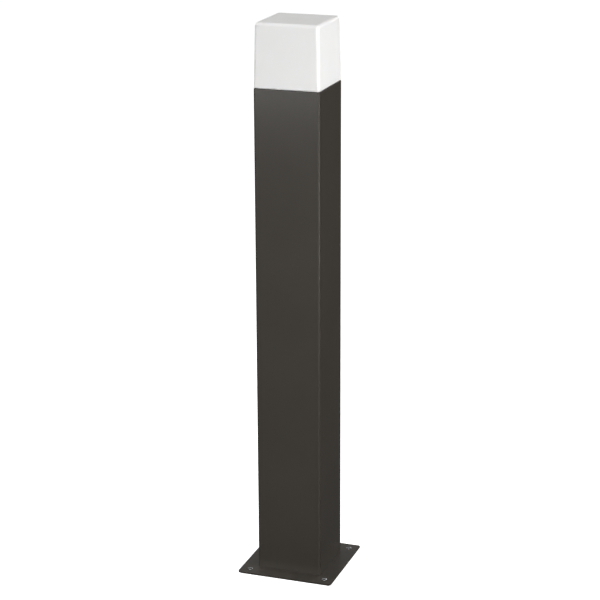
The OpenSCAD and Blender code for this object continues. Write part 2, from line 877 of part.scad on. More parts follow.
module lamp_housing() {
    foot_z = housing_foot - contact_z;
    rim_z = globe_foot - contact_z;
    mid_r = (housing_foot_r + globe_foot_r) / 2 - 1;
    mid_z = (foot_z + rim_z) / 2;
    neck_z = 16;
    color("#f0f0ee") translate([0, 0, contact_z]) rotate_extrude() polygon([
        [neck_r, neck_z], [neck_r, foot_z], [housing_foot_r, foot_z], [mid_r, mid_z],
        [globe_foot_r, rim_z], [globe_foot_r - lamp_wall, rim_z], [mid_r - lamp_wall, mid_z],
        [housing_foot_r - lamp_wall, foot_z + 1.5], [neck_r - lamp_wall, foot_z], [neck_r - lamp_wall, neck_z]
    ]);
}

module lamp_heat_sink() {
    top = led_board_z;
    foot = housing_foot + 2.5;
    gap = 0.2;
    span = globe_foot - housing_foot;
    mid_r = (housing_foot_r + globe_foot_r) / 2 - 1 - lamp_wall - gap;
    mid_z = (housing_foot + globe_foot) / 2;
    top_r = mid_r + (globe_foot_r - lamp_wall - gap - mid_r) * (top - mid_z) / (span / 2);
    foot_r = housing_foot_r - lamp_wall - gap;
    color(cast) rotate_extrude() polygon([
        [foot_r, foot], [mid_r, mid_z], [top_r, top], [0, top], [0, top - sink_t],
        [top_r - 2 * sink_t, top - sink_t], [mid_r - sink_t, mid_z], [foot_r - sink_t, foot]
    ]);
}

module lamp_globe() {
    color(opal) translate([0, 0, globe_z]) rotate_extrude() intersection() {
        difference() {
            circle(globe_r);
            circle(globe_r - globe_wall);
        }
        translate([0, globe_foot - globe_z]) square([lamp_d, lamp_d]);
    }
}

module led_board() {
    rim_gap = 1.4;
    color("#f4f4f2") disc(globe_foot_r - lamp_wall - rim_gap, led_board_z, led_board_z + led_board_t);
}

module led_chips() {
    chip = [2.8, 3.5, 0.8];
    ring_r = 12;
    color("#f2d24a") for (i = [0 : led_count - 1])
        rotate(360 * i / led_count) translate([ring_r, 0, led_board_z + led_board_t + chip[2] / 2])
            cube(chip, center = true);
}

module driver_board() {
    half_w = neck_r - lamp_wall - 0.3;
    board_t = 1.6;
    foot = contact_z + 12;
    color("#2f7a4a") {
        block(-half_w, half_w, -board_t / 2, board_t / 2, foot, led_board_z - 4);
        translate([-3.5, board_t / 2, foot + 10]) rotate([-90, 0, 0]) cylinder(r = 3, h = 6);
        block(1, 7, board_t / 2, board_t / 2 + 5, foot + 6, foot + 14);
    }
}

base_plate();
base_screws();
cable_grommet();
column();
lamp_carrier();
carrier_screws();
head_seal();
diffuser();
set_screws();
terminal_box();
box_screws();
box_lid();
lid_seal();
lid_screws();
gland_body();
gland_washer();
gland_locknut();
gland_seal();
gland_cap();
terminal_block();
block_screws();
terminal_inserts();
terminal_screws();
wire_bush();
live_wire();
neutral_wire();
earth_wire();
earth_terminal();
earth_washer();
earth_screw();
holder_bracket();
bracket_screws();
holder_screws();
holder_body();
holder_shell();
centre_contact();
holder_rivets();
lamp_contact();
lamp_insulator();
lamp_cap();
lamp_housing();
lamp_globe();
lamp_heat_sink();
led_board();
led_chips();
driver_board();
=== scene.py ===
"""Looks of a square bollard light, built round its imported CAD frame."""

import json
import logging
import math
from dataclasses import dataclass
from enum import Enum
from typing import Callable, Iterable, Sequence

import bmesh
import bpy
from mathutils import Matrix, Vector


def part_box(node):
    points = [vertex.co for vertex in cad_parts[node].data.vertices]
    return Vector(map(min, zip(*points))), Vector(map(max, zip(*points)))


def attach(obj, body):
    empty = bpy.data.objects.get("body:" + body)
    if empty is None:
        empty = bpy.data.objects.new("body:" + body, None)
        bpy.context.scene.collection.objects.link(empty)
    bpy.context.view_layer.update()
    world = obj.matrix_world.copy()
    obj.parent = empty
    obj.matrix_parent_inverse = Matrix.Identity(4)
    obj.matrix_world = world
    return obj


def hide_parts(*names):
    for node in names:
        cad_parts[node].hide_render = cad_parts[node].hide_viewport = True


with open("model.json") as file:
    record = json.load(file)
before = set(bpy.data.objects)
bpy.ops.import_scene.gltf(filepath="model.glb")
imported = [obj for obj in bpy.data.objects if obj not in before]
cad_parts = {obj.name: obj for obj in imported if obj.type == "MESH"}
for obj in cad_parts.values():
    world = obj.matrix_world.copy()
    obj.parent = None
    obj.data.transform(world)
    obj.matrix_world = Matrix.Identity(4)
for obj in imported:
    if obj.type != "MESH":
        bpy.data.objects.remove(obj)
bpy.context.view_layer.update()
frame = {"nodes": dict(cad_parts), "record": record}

LOG = logging.getLogger("bollard")
MM = 0.001

Point2 = tuple[float, float]
Point3 = tuple[float, float, float]
Level = tuple[float, float, float]
Profile = Sequence[Point2]
Color = tuple[float, float, float]
RadiusRule = Callable[[float, float, float], float]
Feed = bpy.types.NodeSocket | float | Sequence[float]
Inputs = dict[str | int, Feed]

QUARTER = math.pi / 2
SIDES = (-1, 1)
CENTRE = (0.0, 0.0)
# How far a cutting tool reaches past the face that it enters.
PAST = 1 * MM
# Points of a turned solid that are closer together than this are one point.
WELD = 1e-7


class Body(Enum):
    """The rigid bodies of the frame."""

    BOLLARD = "bollard"
    DIFFUSER = "diffuser_cube"
    LAMP_FOOT = "lamp_foot"
    LAMP = "lamp"


# ---------------------------------------------------------------- node graphs


class Graph:
    """A shader node tree that is filled node by node."""

    def __init__(self, tree: bpy.types.NodeTree) -> None:
        """Starts on an empty tree.

        Args:
            tree: The tree of a material or of a node group.
        """
        self.tree = tree
        self.tree.nodes.clear()

    def add(self, kind: str, inputs: Inputs | None = None, **settings: object) -> bpy.types.Node:
        """Adds one node.

        Args:
            kind: The node's type, without the ShaderNode prefix.
            inputs: Values or output sockets for its inputs, by name or place.
            settings: Attributes of the node.

        Returns:
            The new node.
        """
        prefix = "" if kind.startswith("NodeGroup") else "ShaderNode"
        node = self.tree.nodes.new(prefix + kind)
        for name, value in settings.items():
            setattr(node, name, value)
        for key, value in (inputs or {}).items():
            socket = node.inputs[key]
            if isinstance(value, bpy.types.NodeSocket):
                self.tree.links.new(value, socket)
            else:
                socket.default_value = value
        return node

    def math(self, operation: str, a: Feed, b: Feed = 0.0) -> bpy.types.NodeSocket:
        """Adds a Math node.

        Args:
            operation: The name of the operation.
            a: First value or socket.
            b: Second value or socket.

        Returns:
            Its output socket.
        """
        return self.add("Math", {0: a, 1: b}, operation=operation).outputs[0]

    def ramp(self, value: bpy.types.NodeSocket, low: float, high: float,
             to_low: float = 0.0, to_high: float = 1.0) -> bpy.types.NodeSocket:
        """Maps a value from one range to another, clamped.

        Args:
            value: The socket to map.
            low: Low end of its range.
            high: High end of its range.
            to_low: What the low end becomes.
            to_high: What the high end becomes.

        Returns:
            The mapped socket.
        """
        inputs = {"Value": value, 1: low, 2: high, 3: to_low, 4: to_high}
        return self.add("MapRange", inputs).outputs["Result"]

    def blend(self, factor: Feed, a: Feed, b: Feed) -> bpy.types.NodeSocket:
        """Blends two colours.

        Args:
            factor: Share of the second colour, a value or socket.
            a: First colour or socket.
            b: Second colour or socket.

        Returns:
            The colour socket.
        """
        node = self.add("Mix", data_type="RGBA")
        for place, value in ((0, factor), (6, a), (7, b)):
            if isinstance(value, bpy.types.NodeSocket):
                self.tree.links.new(value, node.inputs[place])
            else:
                node.inputs[place].default_value = value
        return node.outputs[2]


class Effect(Enum):
    """Surface effects that several materials share, each a node group."""

    GRAIN = "fine_grain"
    MOTTLE = "colour_mottle"
    DUST = "settled_dust"
    BRUSH = "drawn_lines"


def rgba(color: Color) -> tuple[float, float, float, float]:
    """Gives a colour its alpha.

    Args:
        color: Red, green and blue.

    Returns:
        The same with alpha 1.
    """
    return (*color, 1.0)


class EffectLibrary:
    """Builds each shared node group once."""

    def __init__(self) -> None:
        """Starts with no group built."""
        self.groups: dict[Effect, bpy.types.NodeTree] = {}

    def group(self, effect: Effect) -> bpy.types.NodeTree:
        """Finds or builds the group of an effect.

        Args:
            effect: Which effect.

        Returns:
            Its node group.
        """
        if effect not in self.groups:
            builders: dict[Effect, Callable[[], bpy.types.NodeTree]] = {
                Effect.GRAIN: self._grain,
                Effect.MOTTLE: self._mottle,
                Effect.DUST: self._dust,
                Effect.BRUSH: self._brush,
            }
            self.groups[effect] = builders[effect]()
        return self.groups[effect]

    @staticmethod
    def _open(
        effect: Effect, inputs: Iterable[tuple[str, str, Feed]], outputs: Iterable[tuple[str, str]],
    ) -> tuple[bpy.types.NodeTree, Graph, bpy.types.Node, bpy.types.Node]:
        """Makes an empty group with its sockets.

        Args:
            effect: Which effect.
            inputs: Name, socket type and default of each input.
            outputs: Name and socket type of each output.

        Returns:
            The tree, its graph and its two end nodes.
        """
        tree = bpy.data.node_groups.new(effect.value, "ShaderNodeTree")
        for name, kind, default in inputs:
            socket = tree.interface.new_socket(name=name, in_out="INPUT", socket_type="NodeSocket" + kind)
            socket.default_value = default
        for name, kind in outputs:
            tree.interface.new_socket(name=name, in_out="OUTPUT", socket_type="NodeSocket" + kind)
        graph = Graph(tree)
        start = graph.add("NodeGroupInput")
        end = graph.add("NodeGroupOutput")
        return tree, graph, start, end

    def _grain(self) -> bpy.types.NodeTree:
        """Builds the grain of cast, moulded or sprayed surfaces.

        Returns:
            The group: a height and a finer mask, both 0 to 1.
        """
        tree, graph, start, end = self._open(
            Effect.GRAIN,
            [("Scale", "Float", 1000.0), ("Detail", "Float", 2.0)],
            [("Height", "Float"), ("Mask", "Float")],
        )
        place = graph.add("TexCoord").outputs["Object"]
        coarse = graph.add("TexNoise", {"Vector": place, "Scale": start.outputs["Scale"],
                                        "Detail": start.outputs["Detail"], "Roughness": 0.5})
        fine_scale = graph.math("MULTIPLY", start.outputs["Scale"], 3.1)
        fine = graph.add("TexNoise", {"Vector": place, "Scale": fine_scale, "Detail": 1.0})
        both = graph.math("MULTIPLY_ADD", fine.outputs["Fac"], 0.35)
        tree.links.new(coarse.outputs["Fac"], both.node.inputs[2])
        tree.links.new(graph.ramp(both, 0.35, 1.0), end.inputs["Height"])
        tree.links.new(graph.ramp(fine.outputs["Fac"], 0.35, 0.65), end.inputs["Mask"])
        return tree

    def _mottle(self) -> bpy.types.NodeTree:
        """Builds the slow drift between two close colours.

        Returns:
            The group: a colour.
        """
        tree, graph, start, end = self._open(
            Effect.MOTTLE,
            [("Color A", "Color", rgba((0.5, 0.5, 0.5))), ("Color B", "Color", rgba((0.4, 0.4, 0.4))),
             ("Scale", "Float", 20.0)],
            [("Color", "Color")],
        )
        place = graph.add("TexCoord").outputs["Object"]
        noise = graph.add("TexNoise", {"Vector": place, "Scale": start.outputs["Scale"], "Detail": 3.0,
                                       "Roughness": 0.55})
        share = graph.ramp(noise.outputs["Fac"], 0.3, 0.7)
        color = graph.blend(share, start.outputs["Color A"], start.outputs["Color B"])
        tree.links.new(color, end.inputs["Color"])
        return tree

    def _dust(self) -> bpy.types.NodeTree:
        """Builds the thin dust that settles on faces that look up.

        Returns:
            The group: a mask.
        """
        tree, graph, start, end = self._open(
            Effect.DUST,
            [("Amount", "Float", 0.2), ("Scale", "Float", 60.0)],
            [("Mask", "Float")],
        )
        normal = graph.add("NewGeometry").outputs["Normal"]
        up = graph.add("SeparateXYZ", {0: normal}).outputs["Z"]
        facing = graph.ramp(up, 0.55, 0.98)
        place = graph.add("TexCoord").outputs["Object"]
        noise = graph.add("TexNoise", {"Vector": place, "Scale": start.outputs["Scale"], "Detail": 6.0,
                                       "Roughness": 0.62})
        patch = graph.ramp(noise.outputs["Fac"], 0.38, 0.72, 0.25, 1.0)
        mask = graph.math("MULTIPLY", graph.math("MULTIPLY", facing, patch), start.outputs["Amount"])
        tree.links.new(mask, end.inputs["Mask"])
        return tree

    def _brush(self) -> bpy.types.NodeTree:
        """Builds the fine parallel lines of drawn or rolled metal.

        Returns:
            The group: a height, 0 to 1.
        """
        tree, graph, start, end = self._open(
            Effect.BRUSH,
            [("Scale", "Float", 400.0), ("Stretch", "Vector", (1.0, 0.04, 1.0))],
            [("Height", "Float")],
        )
        place = graph.add("TexCoord").outputs["Object"]
        stretched = graph.add("VectorMath", {0: place, 1: start.outputs["Stretch"]}, operation="MULTIPLY")
        noise = graph.add("TexNoise", {"Vector": stretched.outputs[0], "Scale": start.outputs["Scale"],
                                       "Detail": 4.0, "Roughness": 0.7})
        tree.links.new(noise.outputs["Fac"], end.inputs["Height"])
        return tree


EFFECTS = EffectLibrary()


@dataclass(frozen=True)
class Finish:
    """One surface finish, made as a material of its own.

    Each field is a value of the Principled shader or of a shared effect.
    """

    name: str
    color: Color
    drift: Color
    drift_scale: float = 18.0
    metallic: float = 0.0
    rough_low: float = 0.4
    rough_high: float = 0.5
    grain_scale: float = 1500.0
    grain_depth: float = 0.02 * MM
    lines: bool = False
    line_stretch: tuple[float, float, float] = (1.0, 0.04, 1.0)
    dust: float = 0.0
    dust_color: Color = (0.42, 0.40, 0.36)
    coat: float = 0.0
    coat_rough: float = 0.1
    specular: float = 0.5
    subsurface: float = 0.0
    subsurface_reach: float = 0.004
    ior: float = 1.5

    def build(self) -> bpy.types.Material:
        """Makes the material.

        Returns:
            The material, procedural throughout.
        """
        material = bpy.data.materials.new(self.name)
        material.use_nodes = True
        graph = Graph(material.node_tree)
        mottle = graph.add("Group", node_tree=EFFECTS.group(Effect.MOTTLE))
        mottle.inputs["Color A"].default_value = rgba(self.color)
        mottle.inputs["Color B"].default_value = rgba(self.drift)
        mottle.inputs["Scale"].default_value = self.drift_scale
        grain = graph.add("Group", node_tree=EFFECTS.group(Effect.GRAIN))
        grain.inputs["Scale"].default_value = self.grain_scale
        base = self._base_color(graph, mottle.outputs["Color"])
        roughness = graph.ramp(grain.outputs["Mask"], 0.0, 1.0, self.rough_low, self.rough_high)
        if self.dust > 0.0:
            dust = graph.add("Group", node_tree=EFFECTS.group(Effect.DUST))
            dust.inputs["Amount"].default_value = self.dust
            base = graph.blend(dust.outputs["Mask"], base, rgba(self.dust_color))
            roughness = graph.math("MAXIMUM", roughness, dust.outputs["Mask"])
        height = grain.outputs["Height"]
        if self.lines:
            brush = graph.add("Group", node_tree=EFFECTS.group(Effect.BRUSH))
            brush.inputs["Stretch"].default_value = self.line_stretch
            height = graph.math("ADD", height, brush.outputs["Height"])
        bump = graph.add("Bump", {"Height": height, "Strength": 1.0, "Distance": self.grain_depth})
        shader = graph.add("BsdfPrincipled", {
            "Base Color": base, "Roughness": roughness, "Metallic": self.metallic,
            "Normal": bump.outputs["Normal"], "Coat Weight": self.coat, "Coat Roughness": self.coat_rough,
            "Specular IOR Level": self.specular, "Subsurface Weight": self.subsurface,
            "Subsurface Scale": self.subsurface_reach, "Subsurface Radius": (1.0, 0.95, 0.85),
            "IOR": self.ior,
        })
        graph.add("OutputMaterial", {"Surface": shader.outputs[0]})
        material.diffuse_color = rgba(self.color)
        return material

    def _base_color(self, graph: Graph, drifted: bpy.types.NodeSocket) -> bpy.types.NodeSocket:
        """Gives finishes that carry a pattern a place to add it.

        Args:
            graph: The material's graph, which is not used here.
            drifted: The drifting colour.

        Returns:
            The colour before dust.
        """
        return drifted


@dataclass(frozen=True)
class StripedSleeve(Finish):
    """Two-colour insulation, striped along the wire."""

    stripe: Color = (0.85, 0.68, 0.05)
    stripe_width: float = 1.1 * MM

    def _base_color(self, graph: Graph, drifted: bpy.types.NodeSocket) -> bpy.types.NodeSocket:
        """Lays the stripe over the sleeve's colour.

        Args:
            graph: The material's graph.
            drifted: The sleeve's own colour.

        Returns:
            The striped colour.
        """
        place = graph.add("TexCoord").outputs["Object"]
        across = graph.add("SeparateXYZ", {0: place}).outputs["X"]
        wave = graph.math("SINE", graph.math("MULTIPLY", across, math.pi / self.stripe_width))
        return graph.blend(graph.math("GREATER_THAN", wave, 0.0), drifted, rgba(self.stripe))


@dataclass(frozen=True)
class CircuitBoard(Finish):
    """Solder mask with the copper tracks showing faintly through it."""

    track: Color = (0.10, 0.36, 0.18)
    track_scale: float = 320.0

    def _base_color(self, graph: Graph, drifted: bpy.types.NodeSocket) -> bpy.types.NodeSocket:
        """Lays the tracks over the mask.

        Args:
            graph: The material's graph.
            drifted: The mask's colour.

        Returns:
            The colour with tracks.
        """
        place = graph.add("TexCoord").outputs["Object"]
        cells = graph.add("TexBrick", {"Vector": place, "Scale": self.track_scale, "Mortar Size": 0.12})
        return graph.blend(graph.ramp(cells.outputs["Fac"], 0.0, 1.0, 0.0, 0.8), drifted, rgba(self.track))


class FinishShelf:
    """Holds every finish of the bollard and hands out its materials."""

    def __init__(self) -> None:
        """Lists the finishes by the record's slot names."""
        zinc = dict(metallic=1.0, rough_low=0.28, rough_high=0.42, grain_scale=900.0, grain_depth=0.008 * MM)
        rubber = dict(rough_low=0.72, rough_high=0.88, grain_scale=1600.0, grain_depth=0.02 * MM,
                      specular=0.35)
        plastic = dict(rough_low=0.48, rough_high=0.62, grain_scale=1900.0, grain_depth=0.015 * MM)
        finishes = [
            Finish("powder_coat", (0.0370, 0.0315, 0.0245), (0.0320, 0.0270, 0.0205), drift_scale=9.0,
                   rough_low=0.46, rough_high=0.56, grain_scale=1300.0, grain_depth=0.010 * MM,
                   dust=0.03, specular=0.36, coat=0.50, coat_rough=0.17),
            Finish("opal", (0.86, 0.855, 0.84), (0.845, 0.84, 0.825), drift_scale=30.0,
                   rough_low=0.42, rough_high=0.48, grain_scale=500.0, grain_depth=0.003 * MM,
                   subsurface=0.35, subsurface_reach=0.006, specular=0.28),
            Finish("lamp_opal", (0.84, 0.84, 0.81), (0.82, 0.82, 0.79), rough_low=0.42, rough_high=0.5,
                   grain_scale=900.0, grain_depth=0.004 * MM, subsurface=0.25),
            Finish("zinc_steel", (0.56, 0.57, 0.60), (0.50, 0.51, 0.54), drift_scale=120.0, **zinc),
            Finish("black_steel", (0.060, 0.060, 0.062), (0.045, 0.045, 0.047), metallic=0.9,
                   rough_low=0.34, rough_high=0.48, grain_scale=1400.0),
            Finish("strap_steel", (0.55, 0.56, 0.57), (0.48, 0.49, 0.50), drift_scale=60.0, lines=True,
                   line_stretch=(1.0, 0.05, 1.0), **zinc),
            Finish("cast_aluminium", (0.60, 0.61, 0.62), (0.53, 0.54, 0.55), drift_scale=50.0, metallic=1.0,
                   rough_low=0.46, rough_high=0.62, grain_scale=1100.0, grain_depth=0.035 * MM),
            Finish("pressed_aluminium", (0.66, 0.67, 0.68), (0.60, 0.61, 0.62), metallic=1.0,
                   rough_low=0.30, rough_high=0.42, lines=True, line_stretch=(1.0, 1.0, 0.05)),
            Finish("foam_rubber", (0.040, 0.040, 0.042), (0.028, 0.028, 0.030), rough_low=0.85,
                   rough_high=0.97, grain_scale=2600.0, grain_depth=0.12 * MM, specular=0.2),
            Finish("black_rubber", (0.024, 0.024, 0.025), (0.018, 0.018, 0.019), **rubber),
            Finish("grey_rubber", (0.20, 0.21, 0.22), (0.17, 0.18, 0.19), **rubber),
            Finish("grey_plastic", (0.34, 0.36, 0.38), (0.31, 0.33, 0.35), **plastic),
            Finish("gland_plastic", (0.030, 0.030, 0.032), (0.024, 0.024, 0.026), **plastic),
            Finish("terminal_plastic", (0.70, 0.66, 0.55), (0.66, 0.62, 0.51), **plastic),
            Finish("brass", (0.72, 0.53, 0.22), (0.62, 0.44, 0.17), drift_scale=80.0, metallic=1.0,
                   rough_low=0.22, rough_high=0.36, grain_depth=0.006 * MM),
            Finish("tinned_copper", (0.62, 0.60, 0.57), (0.55, 0.53, 0.50), metallic=1.0,
                   rough_low=0.30, rough_high=0.44),
            Finish("porcelain", (0.80, 0.78, 0.72), (0.77, 0.75, 0.69), rough_low=0.30, rough_high=0.38,
                   grain_scale=420.0, grain_depth=0.02 * MM, coat=0.8, coat_rough=0.08),
            Finish("nickel", (0.68, 0.66, 0.61), (0.62, 0.60, 0.55), drift_scale=90.0, metallic=1.0,
                   rough_low=0.18, rough_high=0.30, grain_depth=0.005 * MM),
            Finish("black_glass", (0.012, 0.012, 0.015), (0.008, 0.008, 0.010), rough_low=0.10,
                   rough_high=0.18, coat=0.5),
            Finish("lamp_plastic", (0.82, 0.82, 0.80), (0.80, 0.80, 0.78), rough_low=0.36, rough_high=0.46,
                   grain_scale=1500.0, grain_depth=0.010 * MM, subsurface=0.08),
            Finish("board_white", (0.84, 0.84, 0.81), (0.80, 0.80, 0.77), rough_low=0.30, rough_high=0.42),
            Finish("phosphor", (0.80, 0.62, 0.14), (0.74, 0.56, 0.10), rough_low=0.4, rough_high=0.55),
            CircuitBoard("board_green", (0.03, 0.20, 0.09), (0.02, 0.16, 0.07), rough_low=0.24,
                         rough_high=0.36, coat=0.3),
            Finish("live_sleeve", (0.17, 0.07, 0.03), (0.14, 0.055, 0.022), **plastic),
            Finish("neutral_sleeve", (0.03, 0.15, 0.48), (0.025, 0.12, 0.42), **plastic),
            StripedSleeve("earth_sleeve", (0.10, 0.36, 0.05), (0.08, 0.31, 0.04), **plastic),
        ]
        self.finishes = {finish.name: finish for finish in finishes}
        self.materials: dict[str, bpy.types.Material] = {}

    def material(self, slot: str) -> bpy.types.Material:
        """Finds or makes the material of a slot.

        Args:
            slot: The record's slot name.

        Returns:
            Its material.
        """
        if slot not in self.materials:
            self.materials[slot] = self.finishes[slot].build()
        return self.materials[slot]


SHELF = FinishShelf()

# ------------------------------------------------------------------ mesh work


def rounded_square(half: float, radius: float, arc_steps: int, side_steps: int = 1) -> list[Point2]:
    """Draws a square outline with round corners, anticlockwise.

    Args:
        half: Half its width.
        radius: Radius of its corners.
        arc_steps: Steps in each corner.
        side_steps: Steps along each straight side.

    Returns:
        The outline's points.
    """
    points: list[Point2] = []
    inner = half - radius
    middle = Vector((inner, inner))
    for corner in range(4):
        spin = Matrix.Rotation(corner * QUARTER, 2)
        for step in range(arc_steps + 1):
            angle = step * QUARTER / arc_steps
            here = spin @ (middle + radius * Vector((math.cos(angle), math.sin(angle))))
            points.append((here.x, here.y))
        begin = spin @ (middle + Vector((0.0, radius)))
        end = spin @ (Vector((-inner, inner)) + Vector((0.0, radius)))
        for step in range(1, side_steps):
            here = begin.lerp(end, step / side_steps)
            points.append((here.x, here.y))
    return points


def circle(radius: float, steps: int, centre: Point2 = CENTRE) -> list[Point2]:
    """Draws a round outline, anticlockwise.

    Args:
        radius: Its radius.
        steps: Number of points.
        centre: Its middle.

    Returns:
        The outline's points.
    """
    angles = [2 * math.pi * i / steps for i in range(steps)]
    return [(centre[0] + radius * math.cos(a), centre[1] + radius * math.sin(a)) for a in angles]


def loft(
    rings: Sequence[Sequence[Vector]], closed: bool, cap: bool, weld: float = 0.0,
) -> bmesh.types.BMesh:
    """Joins rings of equal count into a skin that faces outward.

    Args:
        rings: The rings, in order along the surface.
        closed: True joins the last ring to the first.
        cap: True fills the first and the last ring.
        weld: Points closer together than this become one, and 0 leaves them all.

    Returns:
        The bmesh of the skin.
    """
    bm = bmesh.new()
    made = [[bm.verts.new(point) for point in ring] for ring in rings]
    count = len(made[0])
    pairs = list(zip(made, made[1:])) + ([(made[-1], made[0])] if closed else [])
    for low, high in pairs:
        for i in range(count):
            j = (i + 1) % count
            bm.faces.new((low[i], low[j], high[j], high[i]))
    if cap:
        bm.faces.new(list(reversed(made[0])))
        bm.faces.new(made[-1])
    if weld > 0.0:
        bmesh.ops.remove_doubles(bm, verts=bm.verts, dist=weld)
    bmesh.ops.recalc_face_normals(bm, faces=bm.faces)
    return bm


def square_rings(levels: Iterable[Level], arc_steps: int, side_steps: int = 1) -> list[list[Vector]]:
    """Draws rounded squares at their heights.

    Args:
        levels: Half width, corner radius and height of each.
        arc_steps: Steps in each corner.
        side_steps: Steps along each straight side.

    Returns:
        The rings, for loft.
    """
    return [[Vector((x, y, z)) for x, y in rounded_square(half, radius, arc_steps, side_steps)]
            for half, radius, z in levels]


def lathe(profile: Profile, steps: int, thread: RadiusRule | None = None) -> bmesh.types.BMesh:
    """Turns a closed profile about the Z axis.

    Args:
        profile: Points of radius and height, round the section, with no point on the axis twice.
        steps: Steps round the axis.
        thread: Gives a new radius from a radius, a height and an angle.

    Returns:
        The bmesh of the turned solid.
    """
    rings = []
    for radius, height in profile:
        ring = []
        for i in range(steps):
            angle = 2 * math.pi * i / steps
            here = thread(radius, height, angle) if thread else radius
            ring.append(Vector((here * math.cos(angle), here * math.sin(angle), height)))
        rings.append(ring)
    on_axis = min(radius for radius, _ in profile) < WELD
    return loft(rings, closed=not on_axis, cap=False, weld=WELD)


def prism(outline: Sequence[Point2], low: float, high: float) -> bmesh.types.BMesh:
    """Raises an outline into a solid.

    Args:
        outline: Its points, anticlockwise.
        low: Height of its foot.
        high: Height of its top.

    Returns:
        The bmesh of the solid.
    """
    rings = [[Vector((x, y, z)) for x, y in outline] for z in (low, high)]
    return loft(rings, closed=False, cap=True)


def drills(
    radius: float, steps: int, spots: Iterable[Point2], low: float, high: float,
) -> list[bmesh.types.BMesh]:
    """Makes one round tool for each hole.

    Args:
        radius: Radius of the holes.
        steps: Points round each hole.
        spots: Their middles.
        low: Height where the tools begin.
        high: Height where they end.

    Returns:
        The tools.
    """
    return [prism(circle(radius, steps, spot), low, high) for spot in spots]


def square_spots(spacing: float) -> list[Point2]:
    """Gives the four corners of a square pattern of that spacing."""
    half = spacing / 2
    return [(x * half, y * half) for x in SIDES for y in SIDES]


def arc(centre: Point2, radius: float, start: float, end: float, steps: int) -> list[Point2]:
    """Draws an arc of a profile.

    Args:
        centre: Its middle.
        radius: Its radius.
        start: First angle, in degrees.
        end: Last angle, in degrees.
        steps: Number of steps.

    Returns:
        The arc's points, both ends included.
    """
    angles = [math.radians(start + (end - start) * i / steps) for i in range(steps + 1)]
    return [(centre[0] + radius * math.cos(a), centre[1] + radius * math.sin(a)) for a in angles]


class Workpiece:
    """A mesh object that is cut, softened and handed over to the frame."""

    def __init__(self, name: str, bm: bmesh.types.BMesh) -> None:
        """Makes the object from a bmesh.

        Args:
            name: Name of the piece.
            bm: Its mesh, which is freed.
        """
        mesh = bpy.data.meshes.new(name)
        bm.to_mesh(mesh)
        bm.free()
        self.item = bpy.data.objects.new(name, mesh)
        bpy.context.scene.collection.objects.link(self.item)

    def _settle(self) -> None:
        """Applies the modifiers to the mesh."""
        graph = bpy.context.evaluated_depsgraph_get()
        mesh = bpy.data.meshes.new_from_object(self.item.evaluated_get(graph))
        old = self.item.data
        self.item.modifiers.clear()
        self.item.data = mesh
        mesh.name = old.name if old.users else self.item.name
        if old.users == 0:
            bpy.data.meshes.remove(old)

    def _combine(self, operation: str, tools: Iterable[bmesh.types.BMesh]) -> "Workpiece":
        """Runs one boolean with several tools.

        Args:
            operation: DIFFERENCE or UNION.
            tools: The solids to cut or to add, which are freed.

        Returns:
            This piece.
        """
        for bm in tools:
            tool = Workpiece("tool", bm)
            modifier = self.item.modifiers.new("combine", "BOOLEAN")
            modifier.operation = operation
            modifier.solver = "EXACT"
            modifier.object = tool.item
            self._settle()
            bpy.data.objects.remove(tool.item)
        return self

    def cut(self, *tools: bmesh.types.BMesh) -> "Workpiece":
        """Cuts solids out of the piece.

        Args:
            tools: The solids, which are freed.

        Returns:
            This piece.
        """
        return self._combine("DIFFERENCE", tools)

    def add(self, *tools: bmesh.types.BMesh) -> "Workpiece":
        """Joins solids to the piece.

        Args:
            tools: The solids, which are freed.

        Returns:
            This piece.
        """
        return self._combine("UNION", tools)

    def soften(self, width: float, angle: float = 50.0, steps: int = 2) -> "Workpiece":
        """Rounds the sharp edges.

        Args:
            width: Width of the rounding.
            angle: Edges sharper than this many degrees are rounded.
            steps: Steps across the rounding.

        Returns:
            This piece.
        """
        modifier = self.item.modifiers.new("soften", "BEVEL")
        modifier.width = width
        modifier.segments = steps
        modifier.limit_method = "ANGLE"
        modifier.angle_limit = math.radians(angle)
        modifier.use_clamp_overlap = True
        modifier.harden_normals = False
        self._settle()
        return self

    def hand_over(
        self, body: Body, nodes: Sequence[str], slot: str, smooth: float = 32.0,
    ) -> bpy.types.Object:
        """Dresses the piece and gives it to its body.

        Args:
            body: The body that it moves with.
            nodes: The CAD nodes that it stands for.
            slot: The record's slot that it is finished in.
            smooth: Edges under this many degrees are shaded smooth.

        Returns:
            The finished object.
        """
        self.item.data.polygons.foreach_set("use_smooth", [True] * len(self.item.data.polygons))
        self.item.data.set_sharp_from_angle(angle=math.radians(smooth))
        weighted = self.item.modifiers.new("weighted", "WEIGHTED_NORMAL")
        weighted.keep_sharp = True
        weighted.weight = 100
        self._settle()
        mesh = self.item.data
        mesh.materials.clear()
        mesh.materials.append(SHELF.material(slot))
        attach(self.item, body.value)
        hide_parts(*nodes)
        LOG.info("%s: %d faces on %s", self.item.name, len(mesh.polygons), body.value)
        return self.item


def merged(parts: Iterable[bmesh.types.BMesh]) -> bmesh.types.BMesh:
    """Puts separate solids into one bmesh.

    Args:
        parts: The solids, which are freed.

    Returns:
        One bmesh that holds them all.
    """
    whole = bmesh.new()
    for part in parts:
        mesh = bpy.data.meshes.new("part")
        part.to_mesh(mesh)
        part.free()
        whole.from_mesh(mesh)
        bpy.data.meshes.remove(mesh)
    return whole


def moved(bm: bmesh.types.BMesh, matrix: Matrix) -> bmesh.types.BMesh:
    """Moves a bmesh.

    Args:
        bm: The mesh.
        matrix: How it moves.

    Returns:
        The same mesh.
    """
    bm.transform(matrix)
    return bm


def shift(x: float, y: float, z: float) -> Matrix:
    """Gives the matrix of a plain move to x, y, z."""
    return Matrix.Translation((x, y, z))


